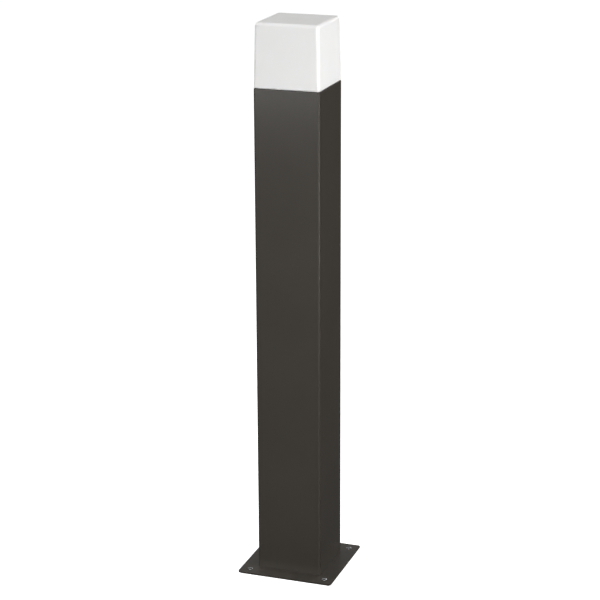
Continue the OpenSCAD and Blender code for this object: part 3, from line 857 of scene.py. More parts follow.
def shifts(spots: Iterable[Point2], z: float) -> list[Matrix]:
    """Gives the matrices of plain moves to spots at one height."""
    return [shift(x, y, z) for x, y in spots]


def helix(depth: float, pitch: float, low: float, high: float) -> RadiusRule:
    """Gives the surface of a right-handed screw thread.

    Args:
        depth: Half the height of the thread.
        pitch: Rise of one turn.
        low: Height where the thread begins.
        high: Height where it ends.

    Returns:
        A function of radius, height and angle, for lathe. The crests keep the profile's radius.
    """
    fade = 0.6 * pitch

    def radius_at(radius: float, height: float, angle: float) -> float:
        """Gives the thread's radius at one point.

        Args:
            radius: The profile's radius there.
            height: Its height.
            angle: Its angle about the axis.

        Returns:
            The new radius.
        """
        inside = min(height - low, high - height) / fade
        if inside <= 0.0:
            return radius
        wave = math.cos(2 * math.pi * height / pitch - angle)
        return radius + depth * min(inside, 1.0) * (wave - 1.0)

    return radius_at


class HeadShape(Enum):
    """Shapes of a screw's head."""

    PAN = "pan"
    COUNTERSUNK = "countersunk"
    NONE = "none"


@dataclass(frozen=True)
class Screw:
    """A small screw that points down. Its head, or its end face, begins at z = 0."""

    shank_r: float
    shank_l: float
    head_r: float = 0.0
    head_h: float = 0.0
    shape: HeadShape = HeadShape.PAN
    socket_r: float = 1.5 * MM
    socket_depth: float = 1.3 * MM
    pitch: float = 0.8 * MM
    thread_depth: float = 0.12 * MM
    tip: float = 0.5 * MM
    edge: float = 0.15 * MM
    steps: int = 24
    levels_a_turn: int = 6

    def _shank(self, top: float) -> list[Point2]:
        """Draws the shank from its tip up to a height.

        Args:
            top: Height where the head begins.

        Returns:
            The points of its profile.
        """
        length = self.shank_l + top - self.tip
        levels = max(2, round(length / self.pitch * self.levels_a_turn))
        foot = self.tip - self.shank_l
        shank = [(self.shank_r, foot + length / levels * i) for i in range(levels + 1)]
        return [(0.0, -self.shank_l), (self.shank_r - self.tip, -self.shank_l), *shank]

    def _head(self) -> list[Point2]:
        """Draws the head from its underside up.

        Returns:
            The points of its profile.
        """
        edge = self.edge
        if self.shape is HeadShape.COUNTERSUNK:
            return [(self.head_r - edge, -edge), (self.head_r - edge, 0.0), (0.0, 0.0)]
        if self.shape is HeadShape.NONE:
            return [(self.shank_r - 2 * edge, 0.0), (0.0, 0.0)]
        flat, flank = 0.35, 0.3 * self.head_h
        dome = [(self.head_r * (flat + (1.0 - flat) * x), flank + (self.head_h - flank) * y)
                for x, y in arc(CENTRE, 1.0, 0.0, 90.0, 6)]
        return [(self.head_r - edge, 0.0), (self.head_r, edge), *dome, (0.0, self.head_h)]

    def mesh(self) -> bmesh.types.BMesh:
        """Builds the screw without its socket.

        Returns:
            Its bmesh.
        """
        under = {HeadShape.PAN: 0.0, HeadShape.COUNTERSUNK: self.shank_r - self.head_r,
                 HeadShape.NONE: -2 * self.edge}[self.shape]
        thread = helix(self.thread_depth, self.pitch, self.tip - self.shank_l, under)
        return lathe([*self._shank(under), *self._head()], self.steps, thread)

    def place(
        self, name: str, spots: Sequence[Matrix], body: Body, nodes: Sequence[str], slot: str,
    ) -> bpy.types.Object:
        """Sets copies of the screw as one piece.

        Args:
            name: Name of the piece.
            spots: Where each copy goes.
            body: The body that they move with.
            nodes: The CAD nodes that they stand for.
            slot: The slot of their finish.

        Returns:
            The finished object.
        """
        top = self.head_h if self.shape is HeadShape.PAN else 0.0
        single = Workpiece("screw", self.mesh())
        single.cut(prism(circle(self.socket_r, 6), top - self.socket_depth, top + PAST))
        copies = []
        for spot in spots:
            bm = bmesh.new()
            bm.from_mesh(single.item.data)
            copies.append(moved(bm, spot))
        bpy.data.objects.remove(single.item)
        return Workpiece(name, merged(copies)).hand_over(body, nodes, slot)


# -------------------------------------------------------------- sub-assemblies


@dataclass
class Foot:
    """The base plate with its holes, its grommet and the screws that hold it."""

    corner_r: float = 4 * MM
    edge: float = 0.45 * MM
    hole_r: float = 3.3 * MM
    hole_spacing: float = 114 * MM
    port_spacing: float = 72 * MM
    cable_hole_r: float = 15 * MM
    screw_hole_r: float = 2.55 * MM
    countersink_r: float = 5.05 * MM
    rim_w: float = 0.5 * MM
    under_edge: float = 1.3 * MM
    sleeve_r: float = 14.95 * MM
    bore_r: float = 10 * MM
    collar_r: float = 12.2 * MM
    lip_h: float = 2 * MM

    def __post_init__(self) -> None:
        """Reads the plate's box."""
        self.low, self.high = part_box("base_plate")

    def build_plate(self) -> bpy.types.Object:
        """Builds the plate with its holes.

        Returns:
            The finished object.
        """
        low, high, half = self.low.z, self.high.z, self.high.x
        levels = [(half - self.under_edge, self.corner_r, low), (half, self.corner_r, low + self.under_edge),
                  (half, self.corner_r, high)]
        plate = Workpiece("base_plate_sheet", loft(square_rings(levels, 10), closed=False, cap=True))
        fixings, ports = square_spots(self.hole_spacing), square_spots(self.port_spacing)
        holes = drills(self.hole_r, 40, fixings, low - PAST, high + PAST)
        holes += drills(self.cable_hole_r, 64, [CENTRE], low - PAST, high + PAST)
        holes += drills(self.screw_hole_r, 32, ports, low - PAST, high + PAST)
        plate.cut(merged(holes))
        sink_r, slope = self.countersink_r, self.countersink_r - self.screw_hole_r
        cone = [(0.0, -PAST), (sink_r + PAST, -PAST), (sink_r, 0.0), (self.screw_hole_r, slope), (0.0, slope)]
        plate.cut(merged([moved(lathe(cone, 32), spot) for spot in shifts(ports, low)]))
        rim_w = self.rim_w
        rim = [(0.0, -rim_w), (self.hole_r, -rim_w), (self.hole_r + rim_w, 0.0),
               (self.hole_r + 2 * rim_w, rim_w), (0.0, rim_w)]
        plate.cut(merged([moved(lathe(rim, 40), spot) for spot in shifts(fixings, high)]))
        plate.soften(self.edge, angle=60.0, steps=3)
        item = plate.hand_over(Body.BOLLARD, ["base_plate"], "powder_coat")
        self._bare_holes(item)
        return item

    def _bare_holes(self, item: bpy.types.Object) -> None:
        """Leaves the walls of the fixing holes without paint.

        Args:
            item: The finished plate.
        """
        slack, level = 0.1 * MM, 0.95
        mesh = item.data
        mesh.materials.append(SHELF.material("strap_steel"))
        reach = self.hole_r + self.rim_w + slack
        spots = [Vector(spot) for spot in square_spots(self.hole_spacing)]
        for face in mesh.polygons:
            near = min((face.center.xy - spot).length for spot in spots) < reach
            if near and abs(face.normal.z) < level:
                face.material_index = 1

    def build_grommet(self) -> bpy.types.Object:
        """Builds the rubber grommet.

        Returns:
            The finished object.
        """
        low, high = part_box("cable_grommet")
        bore, collar, sleeve, flange = self.bore_r, self.collar_r, self.sleeve_r, high.x
        plate_top = self.high.z
        lip = plate_top + self.lip_h
        nick, chamfer, crown = 0.3 * MM, 0.4 * MM, 0.5 * MM
        crown_w, root = 1.2 * MM, 0.6 * MM
        profile = [
            (bore + nick, low.z), (sleeve - chamfer, low.z), (sleeve, low.z + chamfer),
            (sleeve, plate_top), (flange - nick, plate_top), (flange, plate_top + chamfer),
            (flange - crown, lip - crown), (flange - crown_w, lip),
            (collar + root, lip), (collar, lip + root),
            (collar, high.z - chamfer), (collar - chamfer, high.z),
            (bore + chamfer, high.z), (bore, high.z - chamfer), (bore, low.z + nick),
        ]
        ring = Workpiece("grommet_ring", lathe(profile, 72))
        return ring.hand_over(Body.BOLLARD, ["cable_grommet"], "black_rubber")

    def build_screws(self) -> bpy.types.Object:
        """Builds the four countersunk screws that hold the plate to the column.

        Returns:
            The finished object.
        """
        low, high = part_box("base_screws")
        screw = Screw(shank_r=2.25 * MM, shank_l=high.z - low.z, head_r=4.5 * MM, shape=HeadShape.COUNTERSUNK,
                      socket_r=1.6 * MM, pitch=1.6 * MM, thread_depth=0.2 * MM)
        flip = Matrix.Rotation(math.pi, 4, "X")
        spots = [spot @ flip for spot in shifts(square_spots(self.port_spacing), low.z)]
        return screw.place("base_screw_set", spots, Body.BOLLARD, ["base_screws"], "zinc_steel")


@dataclass
class Mast:
    """The extruded column, with its screw ports and the set screws in its back."""

    wall: float = 3 * MM
    corner_r: float = 3 * MM
    bore_corner_r: float = 0.5 * MM
    rim_edge: float = 0.25 * MM
    port_inset: float = 8.5 * MM
    port_bore_r: float = 2.3 * MM
    port_wall: float = 2.2 * MM
    port_web: float = 3 * MM
    port_slot: float = 2 * MM
    carrier_t: float = 3 * MM
    set_screw_r: float = 2 * MM
    set_screw_gap: float = 0.05 * MM

    def __post_init__(self) -> None:
        """Reads the boxes that the column's places come from."""
        self.low, self.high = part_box("column")
        self.seat_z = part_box("head_seal")[0].z - self.carrier_t
        screws_low, screws_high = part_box("set_screws")
        self.screw_z = (screws_low.z + screws_high.z) / 2
        self.screw_x = (screws_high.x - screws_low.x) / 2 - (screws_high.z - screws_low.z) / 2
        self.screw_tip, self.screw_head = screws_low.y, screws_high.y

    def port_outline(self) -> list[Point2]:
        """Draws one screw port with its web into the corner, for the corner at +X +Y.

        Returns:
            The outline's points.
        """
        outer = self.port_bore_r + self.port_wall
        half_web = self.port_web / 2
        reach = self.port_inset * math.sqrt(2) + PAST
        web_angle = math.degrees(math.asin(half_web / outer))
        slot_out = math.degrees(math.asin(self.port_slot / 2 / outer))
        slot_in = math.degrees(math.asin(self.port_slot / 2 / self.port_bore_r))
        points = [(reach, half_web)]
        points += arc(CENTRE, outer, web_angle, 180 - slot_out, 14)
        points += arc(CENTRE, self.port_bore_r, 180 - slot_in, slot_in - 180, 24)
        points += arc(CENTRE, outer, slot_out - 180, -web_angle, 14)
        points.append((reach, -half_web))
        middle = self.high.x - self.wall - self.port_inset
        turn = Matrix.Rotation(math.radians(45), 2)
        turned = [turn @ Vector(point) + Vector((middle, middle)) for point in points]
        return [(point.x, point.y) for point in turned]

    def _set_screw_places(self, y: float) -> list[Matrix]:
        """Gives the places of the two set screws, with Z turned to face the back.

        Args:
            y: How far back they start.

        Returns:
            Their matrices.
        """
        turn = Matrix.Rotation(-QUARTER, 4, "X")
        return [shift(side * self.screw_x, y, self.screw_z) @ turn for side in SIDES]

    def build_column(self) -> bpy.types.Object:
        """Builds the column.

        Returns:
            The finished object.
        """
        low, high, past = self.low.z, self.high.z, 2 * PAST
        inner = self.high.x - self.wall
        column = Workpiece("column_tube", prism(rounded_square(self.high.x, self.corner_r, 12), low, high))
        column.cut(prism(rounded_square(inner, self.bore_corner_r, 3), low - past, high + past))
        ports = [moved(prism(self.port_outline(), low, self.seat_z), Matrix.Rotation(i * QUARTER, 4, "Z"))
                 for i in range(4)]
        column.add(merged(ports))
        holes = [moved(prism(circle(self.set_screw_r, 32), inner - past, self.high.x + past), place)
                 for place in self._set_screw_places(0.0)]
        column.cut(merged(holes))
        column.soften(self.rim_edge, angle=60.0)
        return column.hand_over(Body.BOLLARD, ["column"], "powder_coat", smooth=25.0)

    def build_set_screws(self) -> bpy.types.Object:
        """Builds the two set screws with their hexagon sockets.

        Returns:
            The finished object.
        """
        screw = Screw(shank_r=self.set_screw_r - self.set_screw_gap, shank_l=self.screw_head - self.screw_tip,
                      shape=HeadShape.NONE, socket_r=1.15 * MM, socket_depth=1.6 * MM, pitch=0.7 * MM,
                      thread_depth=0.1 * MM)
        spots = self._set_screw_places(self.screw_head)
        return screw.place("set_screw_pair", spots, Body.BOLLARD, ["set_screws"], "black_steel")


@dataclass
class OpalCube:
    """The moulded diffuser with its skirt."""

    taper: float = 1.5 * MM
    wall: float = 2.8 * MM
    foot_r: float = 4 * MM
    top_r: float = 5 * MM
    least_r: float = 0.05 * MM
    inner_relief: float = 1 * MM
    rim_gap: float = 0.3 * MM
    shelf: float = 3 * MM
    skirt_wall: float = 2.4 * MM
    skirt_gap: float = 0.4 * MM
    skirt_edge: float = 0.3 * MM
    skirt_in_r: float = 1.2 * MM
    skirt_out_r: float = 2 * MM
    column_wall: float = 3 * MM
    lip_r: float = 2.2 * MM
    groove_z: float = 3.4 * MM
    groove_w: float = 0.9 * MM
    groove_d: float = 0.12 * MM
    weld: float = 1e-6
    arc_steps: int = 10
    side_steps: int = 6
    fillet_steps: int = 10

    def __post_init__(self) -> None:
        """Reads the diffuser's box and the column's top."""
        self.low, self.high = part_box("diffuser")
        self.rim_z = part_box("column")[1].z + self.rim_gap

    def _wall_levels(
        self, half: float, foot_r: float, top_r: float, low: float, high: float, steps: int,
    ) -> list[Level]:
        """Draws the levels of a drafted wall and the fillet at its top.

        Args:
            half: Half the width at the foot.
            foot_r: Radius of the upright edges at the foot.
            top_r: Radius of the top edges.
            low: Height of the foot.
            high: Height of the top.
            steps: Steps up the wall.

        Returns:
            The levels, from the foot up.
        """
        top_half, rise = half - self.taper, high - top_r - low
        levels = []
        for i in range(steps + 1):
            share = i / steps
            radius = foot_r + (top_r - foot_r) * share
            levels.append((half + (top_half - half) * share, radius, low + rise * share))
        for i in range(1, self.fillet_steps + 1):
            angle = QUARTER * i / self.fillet_steps
            inward = top_r * (1 - math.cos(angle))
            corner = max(top_r - inward, self.least_r)
            levels.append((top_half - inward, corner, high - top_r + top_r * math.sin(angle)))
        return levels

    def _skirt_levels(self, foot: float) -> list[Level]:
        """Draws the skirt, down its inside and up its outside.

        Args:
            foot: Height where the body begins.

        Returns:
            The levels.
        """
        low, edge = self.low.z, self.skirt_edge
        outer = self.high.x - self.column_wall - self.skirt_gap
        inner = outer - self.skirt_wall
        return [
            (inner, self.skirt_in_r, foot + self.shelf), (inner, self.skirt_in_r, low + edge),
            (inner + edge, self.skirt_in_r + 0.2 * MM, low), (outer - edge, self.skirt_out_r - 0.2 * MM, low),
            (outer, self.skirt_out_r, low + edge), (outer, self.skirt_out_r, foot),
        ]

    def build(self) -> bpy.types.Object:
        """Builds the diffuser.

        Returns:
            The finished object.
        """
        half, foot, top = self.high.x, self.rim_z, self.high.z
        band_top = foot + self.groove_z
        outer = self._wall_levels(half, self.foot_r, self.top_r, band_top + self.groove_w, top, 12)
        lip = arc((-self.lip_r, self.lip_r), self.lip_r, -90.0, 0.0, 5)
        rim = [(half + inward, self.foot_r, foot + rise) for inward, rise in lip]
        groove = (half - self.groove_d, self.foot_r, band_top + self.groove_w / 2)
        rim += [(half, self.foot_r, band_top), groove]
        inner = self._wall_levels(
            half - self.wall, self.foot_r - self.inner_relief, self.top_r - self.wall + self.inner_relief,
            foot + self.shelf, top - self.wall, 10)
        levels = [*reversed(inner), *self._skirt_levels(foot), *rim, *outer]
        rings = square_rings(levels, self.arc_steps, self.side_steps)
        cube = Workpiece("opal_cube", loft(rings, closed=False, cap=True, weld=self.weld))
        return cube.hand_over(Body.DIFFUSER, ["diffuser"], "opal", smooth=40.0)


@dataclass
class Deck:
    """The carrier plate under the diffuser, with its seal, strap and screws."""

    plate_t: float = 3 * MM
    corner_r: float = 2 * MM
    centre_hole_r: float = 17 * MM
    port_spacing: float = 72 * MM
    port_hole_r: float = 2.55 * MM
    box_hole_r: float = 2.25 * MM
    strap_hole_r: float = 1.7 * MM
    drill_depth: float = 6 * MM
    rib_t: float = 2 * MM
    rib_h: float = 3.5 * MM
    rib_trim: float = 3.1 * MM
    rib_front: float = 6 * MM
    rib_back: float = 3 * MM
    boss_r: float = 5 * MM
    strap_w: float = 14 * MM
    strap_bore_r: float = 1.95 * MM
    strap_edge: float = 0.25 * MM
    strap_screw_y: float = 26.5 * MM
    holder_screw_y: float = 9 * MM
    box_screw_x: float = 24.5 * MM
    seal_w: float = 2.9 * MM
    seal_swell: float = 0.5 * MM
    edge: float = 0.3 * MM

    def __post_init__(self) -> None:
        """Reads the boxes round the plate."""
        self.low, self.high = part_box("lamp_carrier")
        strap_low, strap_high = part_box("holder_bracket")
        self.top, self.strap_top, self.strap_end = strap_low.z, strap_high.z, strap_high.y
        self.foot = self.top - self.plate_t
        washer_low, washer_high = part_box("earth_washer")
        self.earth_y = (washer_low.y + washer_high.y) / 2
        self.box_spots = [(side * self.box_screw_x, 0.0) for side in SIDES]
        self.strap_spots = [(0.0, side * self.strap_screw_y) for side in SIDES]

    def build_plate(self) -> bpy.types.Object:
        """Builds the cast plate with its ribs, boss and holes.

        Returns:
            The finished object.
        """
        outline = rounded_square(self.high.x, self.corner_r, 6)
        plate = Workpiece("carrier_plate", prism(outline, self.foot, self.top))
        _, box_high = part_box("terminal_box")
        x = box_high.x - self.rib_trim
        ribs = []
        for y in (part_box("box_lid")[0].y - self.rib_front, box_high.y + self.rib_back):
            outline = [(x, y), (x, y + self.rib_t), (-x, y + self.rib_t), (-x, y)]
            ribs.append(prism(outline, self.foot - self.rib_h, self.foot + PAST))
        earth = (0.0, self.earth_y)
        plate.add(*ribs, prism(circle(self.boss_r, 40, earth), self.low.z, self.foot + PAST))
        holes = drills(self.centre_hole_r, 72, [CENTRE], self.foot - PAST, self.top + PAST)
        for radius, spots in ((self.port_hole_r, square_spots(self.port_spacing)),
                              (self.box_hole_r, self.box_spots), (self.strap_hole_r, self.strap_spots)):
            holes += drills(radius, 28, spots, self.foot - self.drill_depth, self.top + PAST)
        plate.cut(merged(holes))
        plate.cut(prism(circle(self.strap_hole_r, 28, earth), self.low.z - PAST, self.foot + PAST))
        plate.soften(self.edge)
        return plate.hand_over(Body.BOLLARD, ["lamp_carrier"], "cast_aluminium")

    def build_seal(self) -> bpy.types.Object:
        """Builds the foam seal, soft at its edges.

        Returns:
            The finished object.
        """
        low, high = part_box("head_seal")
        width, swell, half = self.seal_w, self.seal_swell, high.x
        outer_r, inner_r, inner_edge_r = 2 * MM, 1 * MM, 1.2 * MM
        levels = [
            (half - swell, outer_r - swell, low.z), (half, outer_r, low.z + swell),
            (half, outer_r, high.z - swell), (half - swell, outer_r - swell, high.z),
            (half - width + swell, inner_edge_r, high.z), (half - width, inner_r, high.z - swell),
            (half - width, inner_r, low.z + swell), (half - width + swell, inner_edge_r, low.z),
        ]
        seal = Workpiece("foam_seal", loft(square_rings(levels, 6, 12), closed=True, cap=False))
        return seal.hand_over(Body.BOLLARD, ["head_seal"], "foam_rubber", smooth=50.0)

    def build_strap(self) -> bpy.types.Object:
        """Builds the strap that the lampholder stands on.

        Returns:
            The finished object.
        """
        radius = self.strap_w / 2
        reach = math.degrees(math.asin((self.strap_end - self.strap_screw_y) / radius))
        centre = (0.0, self.strap_screw_y)
        end = arc(centre, radius, 0.0, reach, 6) + arc(centre, radius, 180.0 - reach, 180.0, 6)
        outline = end + [(-x, -y) for x, y in end]
        strap = Workpiece("holder_strap", prism(outline, self.top, self.strap_top))
        spots = [(0.0, side * y) for side in SIDES for y in (self.strap_screw_y, self.holder_screw_y)]
        strap.cut(merged(drills(self.strap_bore_r, 28, spots, self.top - PAST, self.strap_top + PAST)))
        strap.soften(self.strap_edge)
        return strap.hand_over(Body.BOLLARD, ["holder_bracket"], "strap_steel")

    def build_screws(self) -> None:
        """Builds the screws that show on the plate."""
        ports = shifts(square_spots(self.port_spacing), self.top)
        port_screw = Screw(shank_r=2.25 * MM, shank_l=16 * MM, head_r=4 * MM, head_h=2.8 * MM,
                           socket_r=1.6 * MM, socket_depth=1.7 * MM, pitch=1.6 * MM, thread_depth=0.2 * MM)
        port_screw.place("carrier_screw_set", ports, Body.BOLLARD, ["carrier_screws"], "zinc_steel")
        boxes = shifts(self.box_spots, self.top)
        box_screw = Screw(shank_r=1.95 * MM, shank_l=14 * MM, head_r=3.3 * MM, head_h=2.4 * MM,
                          socket_r=1.4 * MM, pitch=1.4 * MM, thread_depth=0.17 * MM)
        box_screw.place("box_screw_pair", boxes, Body.BOLLARD, ["box_screws"], "zinc_steel")
        straps = shifts(self.strap_spots, self.strap_top)
        strap_screw = Screw(shank_r=1.65 * MM, shank_l=6 * MM, head_r=3 * MM, head_h=2.2 * MM,
                            socket_r=1.15 * MM)
        strap_screw.place("strap_screw_pair", straps, Body.BOLLARD, ["bracket_screws"], "zinc_steel")


@dataclass
class Lampholder:
    """The porcelain lampholder and its threaded shell."""

    pitch: float = 3.629 * MM
    depth: float = 0.5 * MM
    sheet: float = 0.42 * MM
    bore_r: float = 14.1 * MM
    floor: float = 10.5 * MM
    floor_t: float = 4 * MM
    chamber_r: float = 14 * MM
    bar_w: float = 11 * MM
    bar_past: float = 0.4 * MM
    step_z: float = 18 * MM
    rim_r: float = 17.5 * MM
    rivet_r: float = 1.3 * MM
    rivet_x: float = 10 * MM
    screw_r: float = 1.7 * MM
    screw_y: float = 9 * MM
    screw_depth: float = 8.5 * MM
    tab_half: float = 3 * MM
    tab_x: float = 7.4 * MM
    tab_gap: float = 0.2 * MM

    def __post_init__(self) -> None:
        """Reads the boxes of the holder and its shell."""
        self.low, self.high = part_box("holder_body")
        self.shell_low, self.shell_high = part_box("holder_shell")

    def _body_profile(self) -> list[Point2]:
        """Draws the body's section: the chamber, the outside with its groove, and the bore.

        Returns:
            The points of its profile.
        """
        foot, top, base, rim = self.low.z, self.high.z, self.high.x, self.rim_r
        ceiling, step = foot + self.floor, foot + self.step_z
        bed = ceiling + self.floor_t
        soft, foot_r, step_r, root_r, rim_edge, bore_edge = (r * MM for r in (0.5, 0.6, 1.2, 0.8, 1.1, 0.7))
        root_z, groove_d = 1.9 * MM, 0.35 * MM
        groove = [(rim, 5.4 * MM), (rim - groove_d, 5.0 * MM), (rim - groove_d, 4.4 * MM), (rim, 4.0 * MM)]
        return [
            (0.0, ceiling), (self.chamber_r - soft, ceiling), (self.chamber_r, ceiling - soft),
            (self.chamber_r, foot),
            *arc((base - foot_r, foot + foot_r), foot_r, -90.0, 0.0, 4),
            *arc((base - step_r, step - step_r), step_r, 0.0, 60.0, 5),
            *reversed(arc((rim + root_r, step + root_z), root_r, 180.0, 240.0, 4)),
            *[(radius, top - depth) for radius, depth in groove],
            *arc((rim - rim_edge, top - rim_edge), rim_edge, 0.0, 90.0, 6),
            *arc((self.bore_r + bore_edge, top - bore_edge), bore_edge, 90.0, 180.0, 5),
            (self.bore_r, bed), (0.0, bed),
        ]

    def build_body(self) -> bpy.types.Object:
        """Builds the glazed body.

        Returns:
            The finished object.
        """
        foot = self.low.z
        ceiling = foot + self.floor
        body = Workpiece("porcelain_holder", lathe(self._body_profile(), 96))
        half, reach, sunk = self.bar_w / 2, self.chamber_r + self.bar_past, 0.5 * MM
        bar = [(half, -reach), (half, reach), (-half, reach), (-half, -reach)]
        body.add(prism(bar, foot, ceiling + sunk))
        rivets = [(side * self.rivet_x, 0.0) for side in SIDES]
        screws = [(0.0, side * self.screw_y) for side in SIDES]
        holes = drills(self.rivet_r, 24, rivets, ceiling - PAST, ceiling + self.floor_t + PAST)
        holes += drills(self.screw_r, 24, screws, foot - PAST, foot + self.screw_depth)
        body.cut(merged(holes))
        return body.hand_over(Body.BOLLARD, ["holder_body"], "porcelain", smooth=35.0)

    def build_shell(self) -> bpy.types.Object:
        """Builds the threaded shell and the tab that its rivet holds.

        Returns:
            The finished object.
        """
        low, high, outer = self.shell_low.z, self.shell_high.z, self.shell_high.x
        levels = round((high - low) / (self.pitch / 10))
        heights = [low + (high - low) * i / levels for i in range(levels + 1)]
        profile = [(outer, z) for z in heights] + [(outer - self.sheet, z) for z in reversed(heights)]
        shell = Workpiece("threaded_shell", lathe(profile, 96, helix(self.depth, self.pitch, low, high)))
        end, root, half = outer - self.tab_gap, self.tab_x, self.tab_half
        shell.add(prism([(end, -half), (end, half), (root, half), (root, -half)], low, low + self.sheet))
        shell.cut(prism(circle(self.rivet_r, 24, (self.rivet_x, 0.0)), low - PAST, low + PAST))
        return shell.hand_over(Body.BOLLARD, ["holder_shell"], "brass", smooth=50.0)


@dataclass
class GolfBallLamp:
    """The screw-in lamp: cap, housing and globe."""

    pitch: float = 3.629 * MM
    depth: float = 0.5 * MM
    sheet: float = 0.4 * MM
    lip_r: float = 11.35 * MM
    shoulder_h: float = 2.2 * MM
    skirt_h: float = 3.4 * MM
    neck_r: float = 11.6 * MM
    wall: float = 1.5 * MM
    globe_wall: float = 1.2 * MM
    foot_r: float = 14.2 * MM
    foot_gap: float = 1 * MM
    flare_steps: int = 14

    def __post_init__(self) -> None:
        """Reads the boxes of the lamp's pieces."""
        self.cap_low, self.cap_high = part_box("lamp_cap")
        self.house_low, self.house_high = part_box("lamp_housing")
        self.globe_low, self.globe_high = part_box("lamp_globe")
        self.globe_r = self.globe_high.x
        self.globe_z = self.globe_high.z - self.globe_r

    def build_cap(self) -> bpy.types.Object:
        """Builds the threaded cap.

        Returns:
            The finished object.
        """
        low, high, crest = self.cap_low.z, self.cap_high.z, self.cap_high.x
        shoulder, skirt = low + self.shoulder_h, high - self.skirt_h
        levels = round((skirt - shoulder) / (self.pitch / 10))
        bend, edge, flange = 0.9 * MM, 0.3 * MM, 0.4 * MM
        wall = [(crest, shoulder + (skirt - shoulder) * i / levels) for i in range(levels + 1)]
        collar = [(crest, skirt + flange), (crest - 0.1 * MM, high - edge), (crest - edge, high)]
        root = [(self.lip_r, low), (crest - bend, low), (crest - edge, low + bend)]
        inside = [(crest - self.sheet - 0.2 * MM, high), (crest - self.sheet, skirt)]
        inside += [(r - self.sheet, z) for r, z in reversed(wall)] + [(self.lip_r, low + bend)]
        thread = helix(self.depth, self.pitch, shoulder, skirt)
        cap = Workpiece("threaded_cap", lathe([*root, *wall, *collar, *inside], 96, thread))
        return cap.hand_over(Body.LAMP, ["lamp_cap"], "nickel", smooth=50.0)

    def build_housing(self) -> bpy.types.Object:
        """Builds the moulded housing between cap and globe.

        Returns:
            The finished object.
        """
        foot = self.cap_high.z + self.foot_gap
        neck, rim, rim_r = self.house_low.z, self.house_high.z, self.house_high.x
        neck_inner = self.neck_r - self.wall
        begin, end, edge = foot + 0.8 * MM, rim - 0.6 * MM, 0.25 * MM
        straight, curved = 0.62, 0.38
        flare = []
        for i in range(self.flare_steps + 1):
            t = i / self.flare_steps
            spread = (rim_r - self.foot_r) * (straight * t + curved * t * t)
            flare.append((self.foot_r + spread, begin + (end - begin) * t))
        profile = [
            (self.neck_r, neck), (self.neck_r, foot),
            (self.foot_r - 0.7 * MM, foot), (self.foot_r - 0.2 * MM, foot + 0.2 * MM),
            *flare, (rim_r, rim - edge), (rim_r - edge, rim), (rim_r - self.wall, rim),
            *[(r - self.wall, z) for r, z in reversed(flare)],
            (neck_inner, foot + 1.5 * MM), (neck_inner, neck),
        ]
        housing = Workpiece("lamp_body", lathe(profile, 96))
        return housing.hand_over(Body.LAMP, ["lamp_housing"], "lamp_plastic", smooth=40.0)

    def build_globe(self) -> bpy.types.Object:
        """Builds the opal globe.

        Returns:
            The finished object.
        """
        centre, drop = (0.0, self.globe_z), self.globe_low.z - self.globe_z
        inner_r = self.globe_r - self.globe_wall
        outside = arc(centre, self.globe_r, math.degrees(math.asin(drop / self.globe_r)), 90.0, 30)
        inside = arc(centre, inner_r, 90.0, math.degrees(math.asin(drop / inner_r)), 30)
        outside[-1], inside[0] = (0.0, outside[-1][1]), (0.0, inside[0][1])
        globe = Workpiece("opal_globe", lathe([*inside, *outside], 96))
        return globe.hand_over(Body.LAMP, ["lamp_globe"], "lamp_opal", smooth=50.0)


def dress_frame() -> None:
    """Gives every CAD node that still shows its own material."""
    slots = {part["node"]: part["material_slot"] for part in frame["record"]["subparts"]}
    for name, item in frame["nodes"].items():
        item.data.materials.clear()
        item.data.materials.append(SHELF.material(slots[name]))
        LOG.info("%s dressed in %s", name, slots[name])


# ---------------------------------------------------------------------- studio


@dataclass
class SoftBox:
    """A soft studio light that the camera doesn't see."""

    name: str
    place: Point3
    aim: Point3
    width: float
    height: float
    watts: float
    spread: float = 180.0

    def build(self) -> None:
        """Hangs the light and turns it to its aim."""
        data = bpy.data.lights.new(self.name, "AREA")
        data.shape = "RECTANGLE"
        data.size, data.size_y = self.width, self.height
        data.energy = self.watts
        data.spread = math.radians(self.spread)
        item = bpy.data.objects.new(self.name, data)
        bpy.context.scene.collection.objects.link(item)
        item.location = self.place
        item.visible_camera = False
        toward = Vector(self.aim) - Vector(self.place)
        item.rotation_mode = "QUATERNION"
        item.rotation_quaternion = toward.to_track_quat("-Z", "Y")


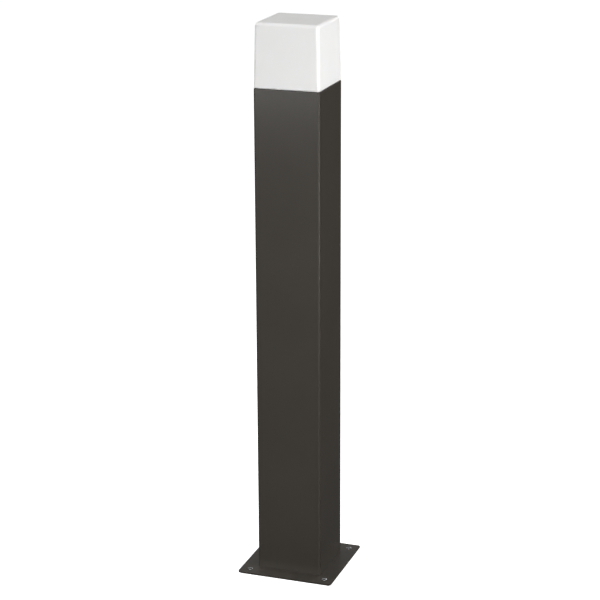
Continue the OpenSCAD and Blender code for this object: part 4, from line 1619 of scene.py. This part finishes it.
@dataclass
class Studio:
    """The floor, the lights and the camera. Angles are in degrees."""

    yaw: float = 19.518
    pan: float = -0.035
    distance: float = 2.6655
    height: float = 1.2340
    pitch: float = 17.350
    roll: float = -0.262
    lens: float = 118.6
    sensor: float = 36.0
    floor_half: float = 14.0
    white: Color = (1.0, 1.0, 1.0)
    floor_color: Color = (0.80, 0.80, 0.80)
    bounce_color: Color = (0.08, 0.08, 0.08)
    floor_glow: float = 0.85
    sky: float = 0.25

    def build(self) -> None:
        """Sets up the whole studio."""
        self._floor()
        self._sky()
        self._lights()
        self._camera()
        settings = bpy.context.scene.view_settings
        settings.view_transform = "Standard"
        settings.look = "None"

    def _floor(self) -> None:
        """Lays the floor, which is white to the camera and dark to every other ray."""
        half = self.floor_half
        bm = bmesh.new()
        corners = [bm.verts.new((x * half, y * half, 0.0)) for x, y in ((-1, -1), (1, -1), (1, 1), (-1, 1))]
        bm.faces.new(corners)
        floor = Workpiece("studio_floor", bm).item
        material = bpy.data.materials.new("studio_floor")
        material.use_nodes = True
        graph = Graph(material.node_tree)
        pale = graph.add("BsdfDiffuse", {"Color": rgba(self.floor_color)})
        glow = graph.add("Emission", {"Color": rgba(self.white), "Strength": self.floor_glow})
        seen = graph.add("AddShader", {0: pale.outputs[0], 1: glow.outputs[0]})
        bounce = graph.add("BsdfDiffuse", {"Color": rgba(self.bounce_color)})
        direct = graph.add("LightPath").outputs["Is Camera Ray"]
        both = graph.add("MixShader", {0: direct, 1: bounce.outputs[0], 2: seen.outputs[0]})
        graph.add("OutputMaterial", {"Surface": both.outputs[0]})
        floor.data.materials.append(material)

    def _sky(self) -> None:
        """Fills the room with dim, even light, which the camera sees as plain white."""
        world = bpy.data.worlds.new("studio_room")
        bpy.context.scene.world = world
        world.use_nodes = True
        graph = Graph(world.node_tree)
        light = graph.add("Background", {"Color": rgba(self.white), "Strength": self.sky})
        seen = graph.add("Background", {"Color": rgba(self.white), "Strength": 1.0})
        direct = graph.add("LightPath").outputs["Is Camera Ray"]
        both = graph.add("MixShader", {0: direct, 1: light.outputs[0], 2: seen.outputs[0]})
        graph.add("OutputWorld", {"Surface": both.outputs[0]})

    def _lights(self) -> None:
        """Hangs the soft lights."""
        lights = [
            SoftBox("key_front", (0.65, -2.4, 0.8), (0.0, 0.0, 0.35), 0.9, 1.3, 14.5),
            SoftBox("key_left", (-0.85, -2.2, 0.85), (0.0, 0.0, 0.5), 0.7, 1.3, 11.0),
            SoftBox("foot_front", (0.5, -2.2, 0.5), (0.0, 0.0, 0.12), 0.5, 0.4, 0.5, spread=40.0),
            SoftBox("side_right", (1.75, -0.75, 1.15), (0.0, 0.0, 0.65), 0.25, 0.8, 4.7, spread=70.0),
            SoftBox("strip_right", (0.98, -0.20, 0.36), (0.0, 0.0, 0.55), 0.05, 0.4, 1.4),
            SoftBox("side_left", (-1.8, 0.1, 1.8), (0.0, 0.0, 0.5), 1.2, 1.0, 26.0),
            SoftBox("back_high", (1.1, 2.0, 2.0), (0.0, 0.0, 0.5), 1.2, 1.0, 12.0),
        ]
        for light in lights:
            light.build()

    def _camera(self) -> None:
        """Sets the camera."""
        data = bpy.data.cameras.new("camera")
        data.lens = self.lens
        data.sensor_width = self.sensor
        camera = bpy.data.objects.new("camera", data)
        bpy.context.scene.collection.objects.link(camera)
        yaw, pitch = math.radians(self.yaw), math.radians(self.pitch)
        camera.location = (self.distance * math.sin(yaw), -self.distance * math.cos(yaw), self.height)
        turn = yaw + math.radians(self.pan)
        aim = Matrix.Rotation(turn, 3, "Z") @ Matrix.Rotation(QUARTER - pitch, 3, "X")
        camera.rotation_euler = (aim @ Matrix.Rotation(math.radians(self.roll), 3, "Z")).to_euler()
        bpy.context.scene.camera = camera


def main() -> None:
    """Builds the bollard light and its studio."""
    logging.basicConfig(level=logging.INFO, format="%(name)s %(message)s")
    foot = Foot()
    foot.build_plate()
    foot.build_grommet()
    foot.build_screws()
    mast = Mast()
    mast.build_column()
    mast.build_set_screws()
    OpalCube().build()
    deck = Deck()
    deck.build_plate()
    deck.build_seal()
    deck.build_strap()
    deck.build_screws()
    holder = Lampholder()
    holder.build_body()
    holder.build_shell()
    lamp = GolfBallLamp()
    lamp.build_cap()
    lamp.build_housing()
    lamp.build_globe()
    dress_frame()
    Studio().build()


if __name__ == "__main__":
    main()
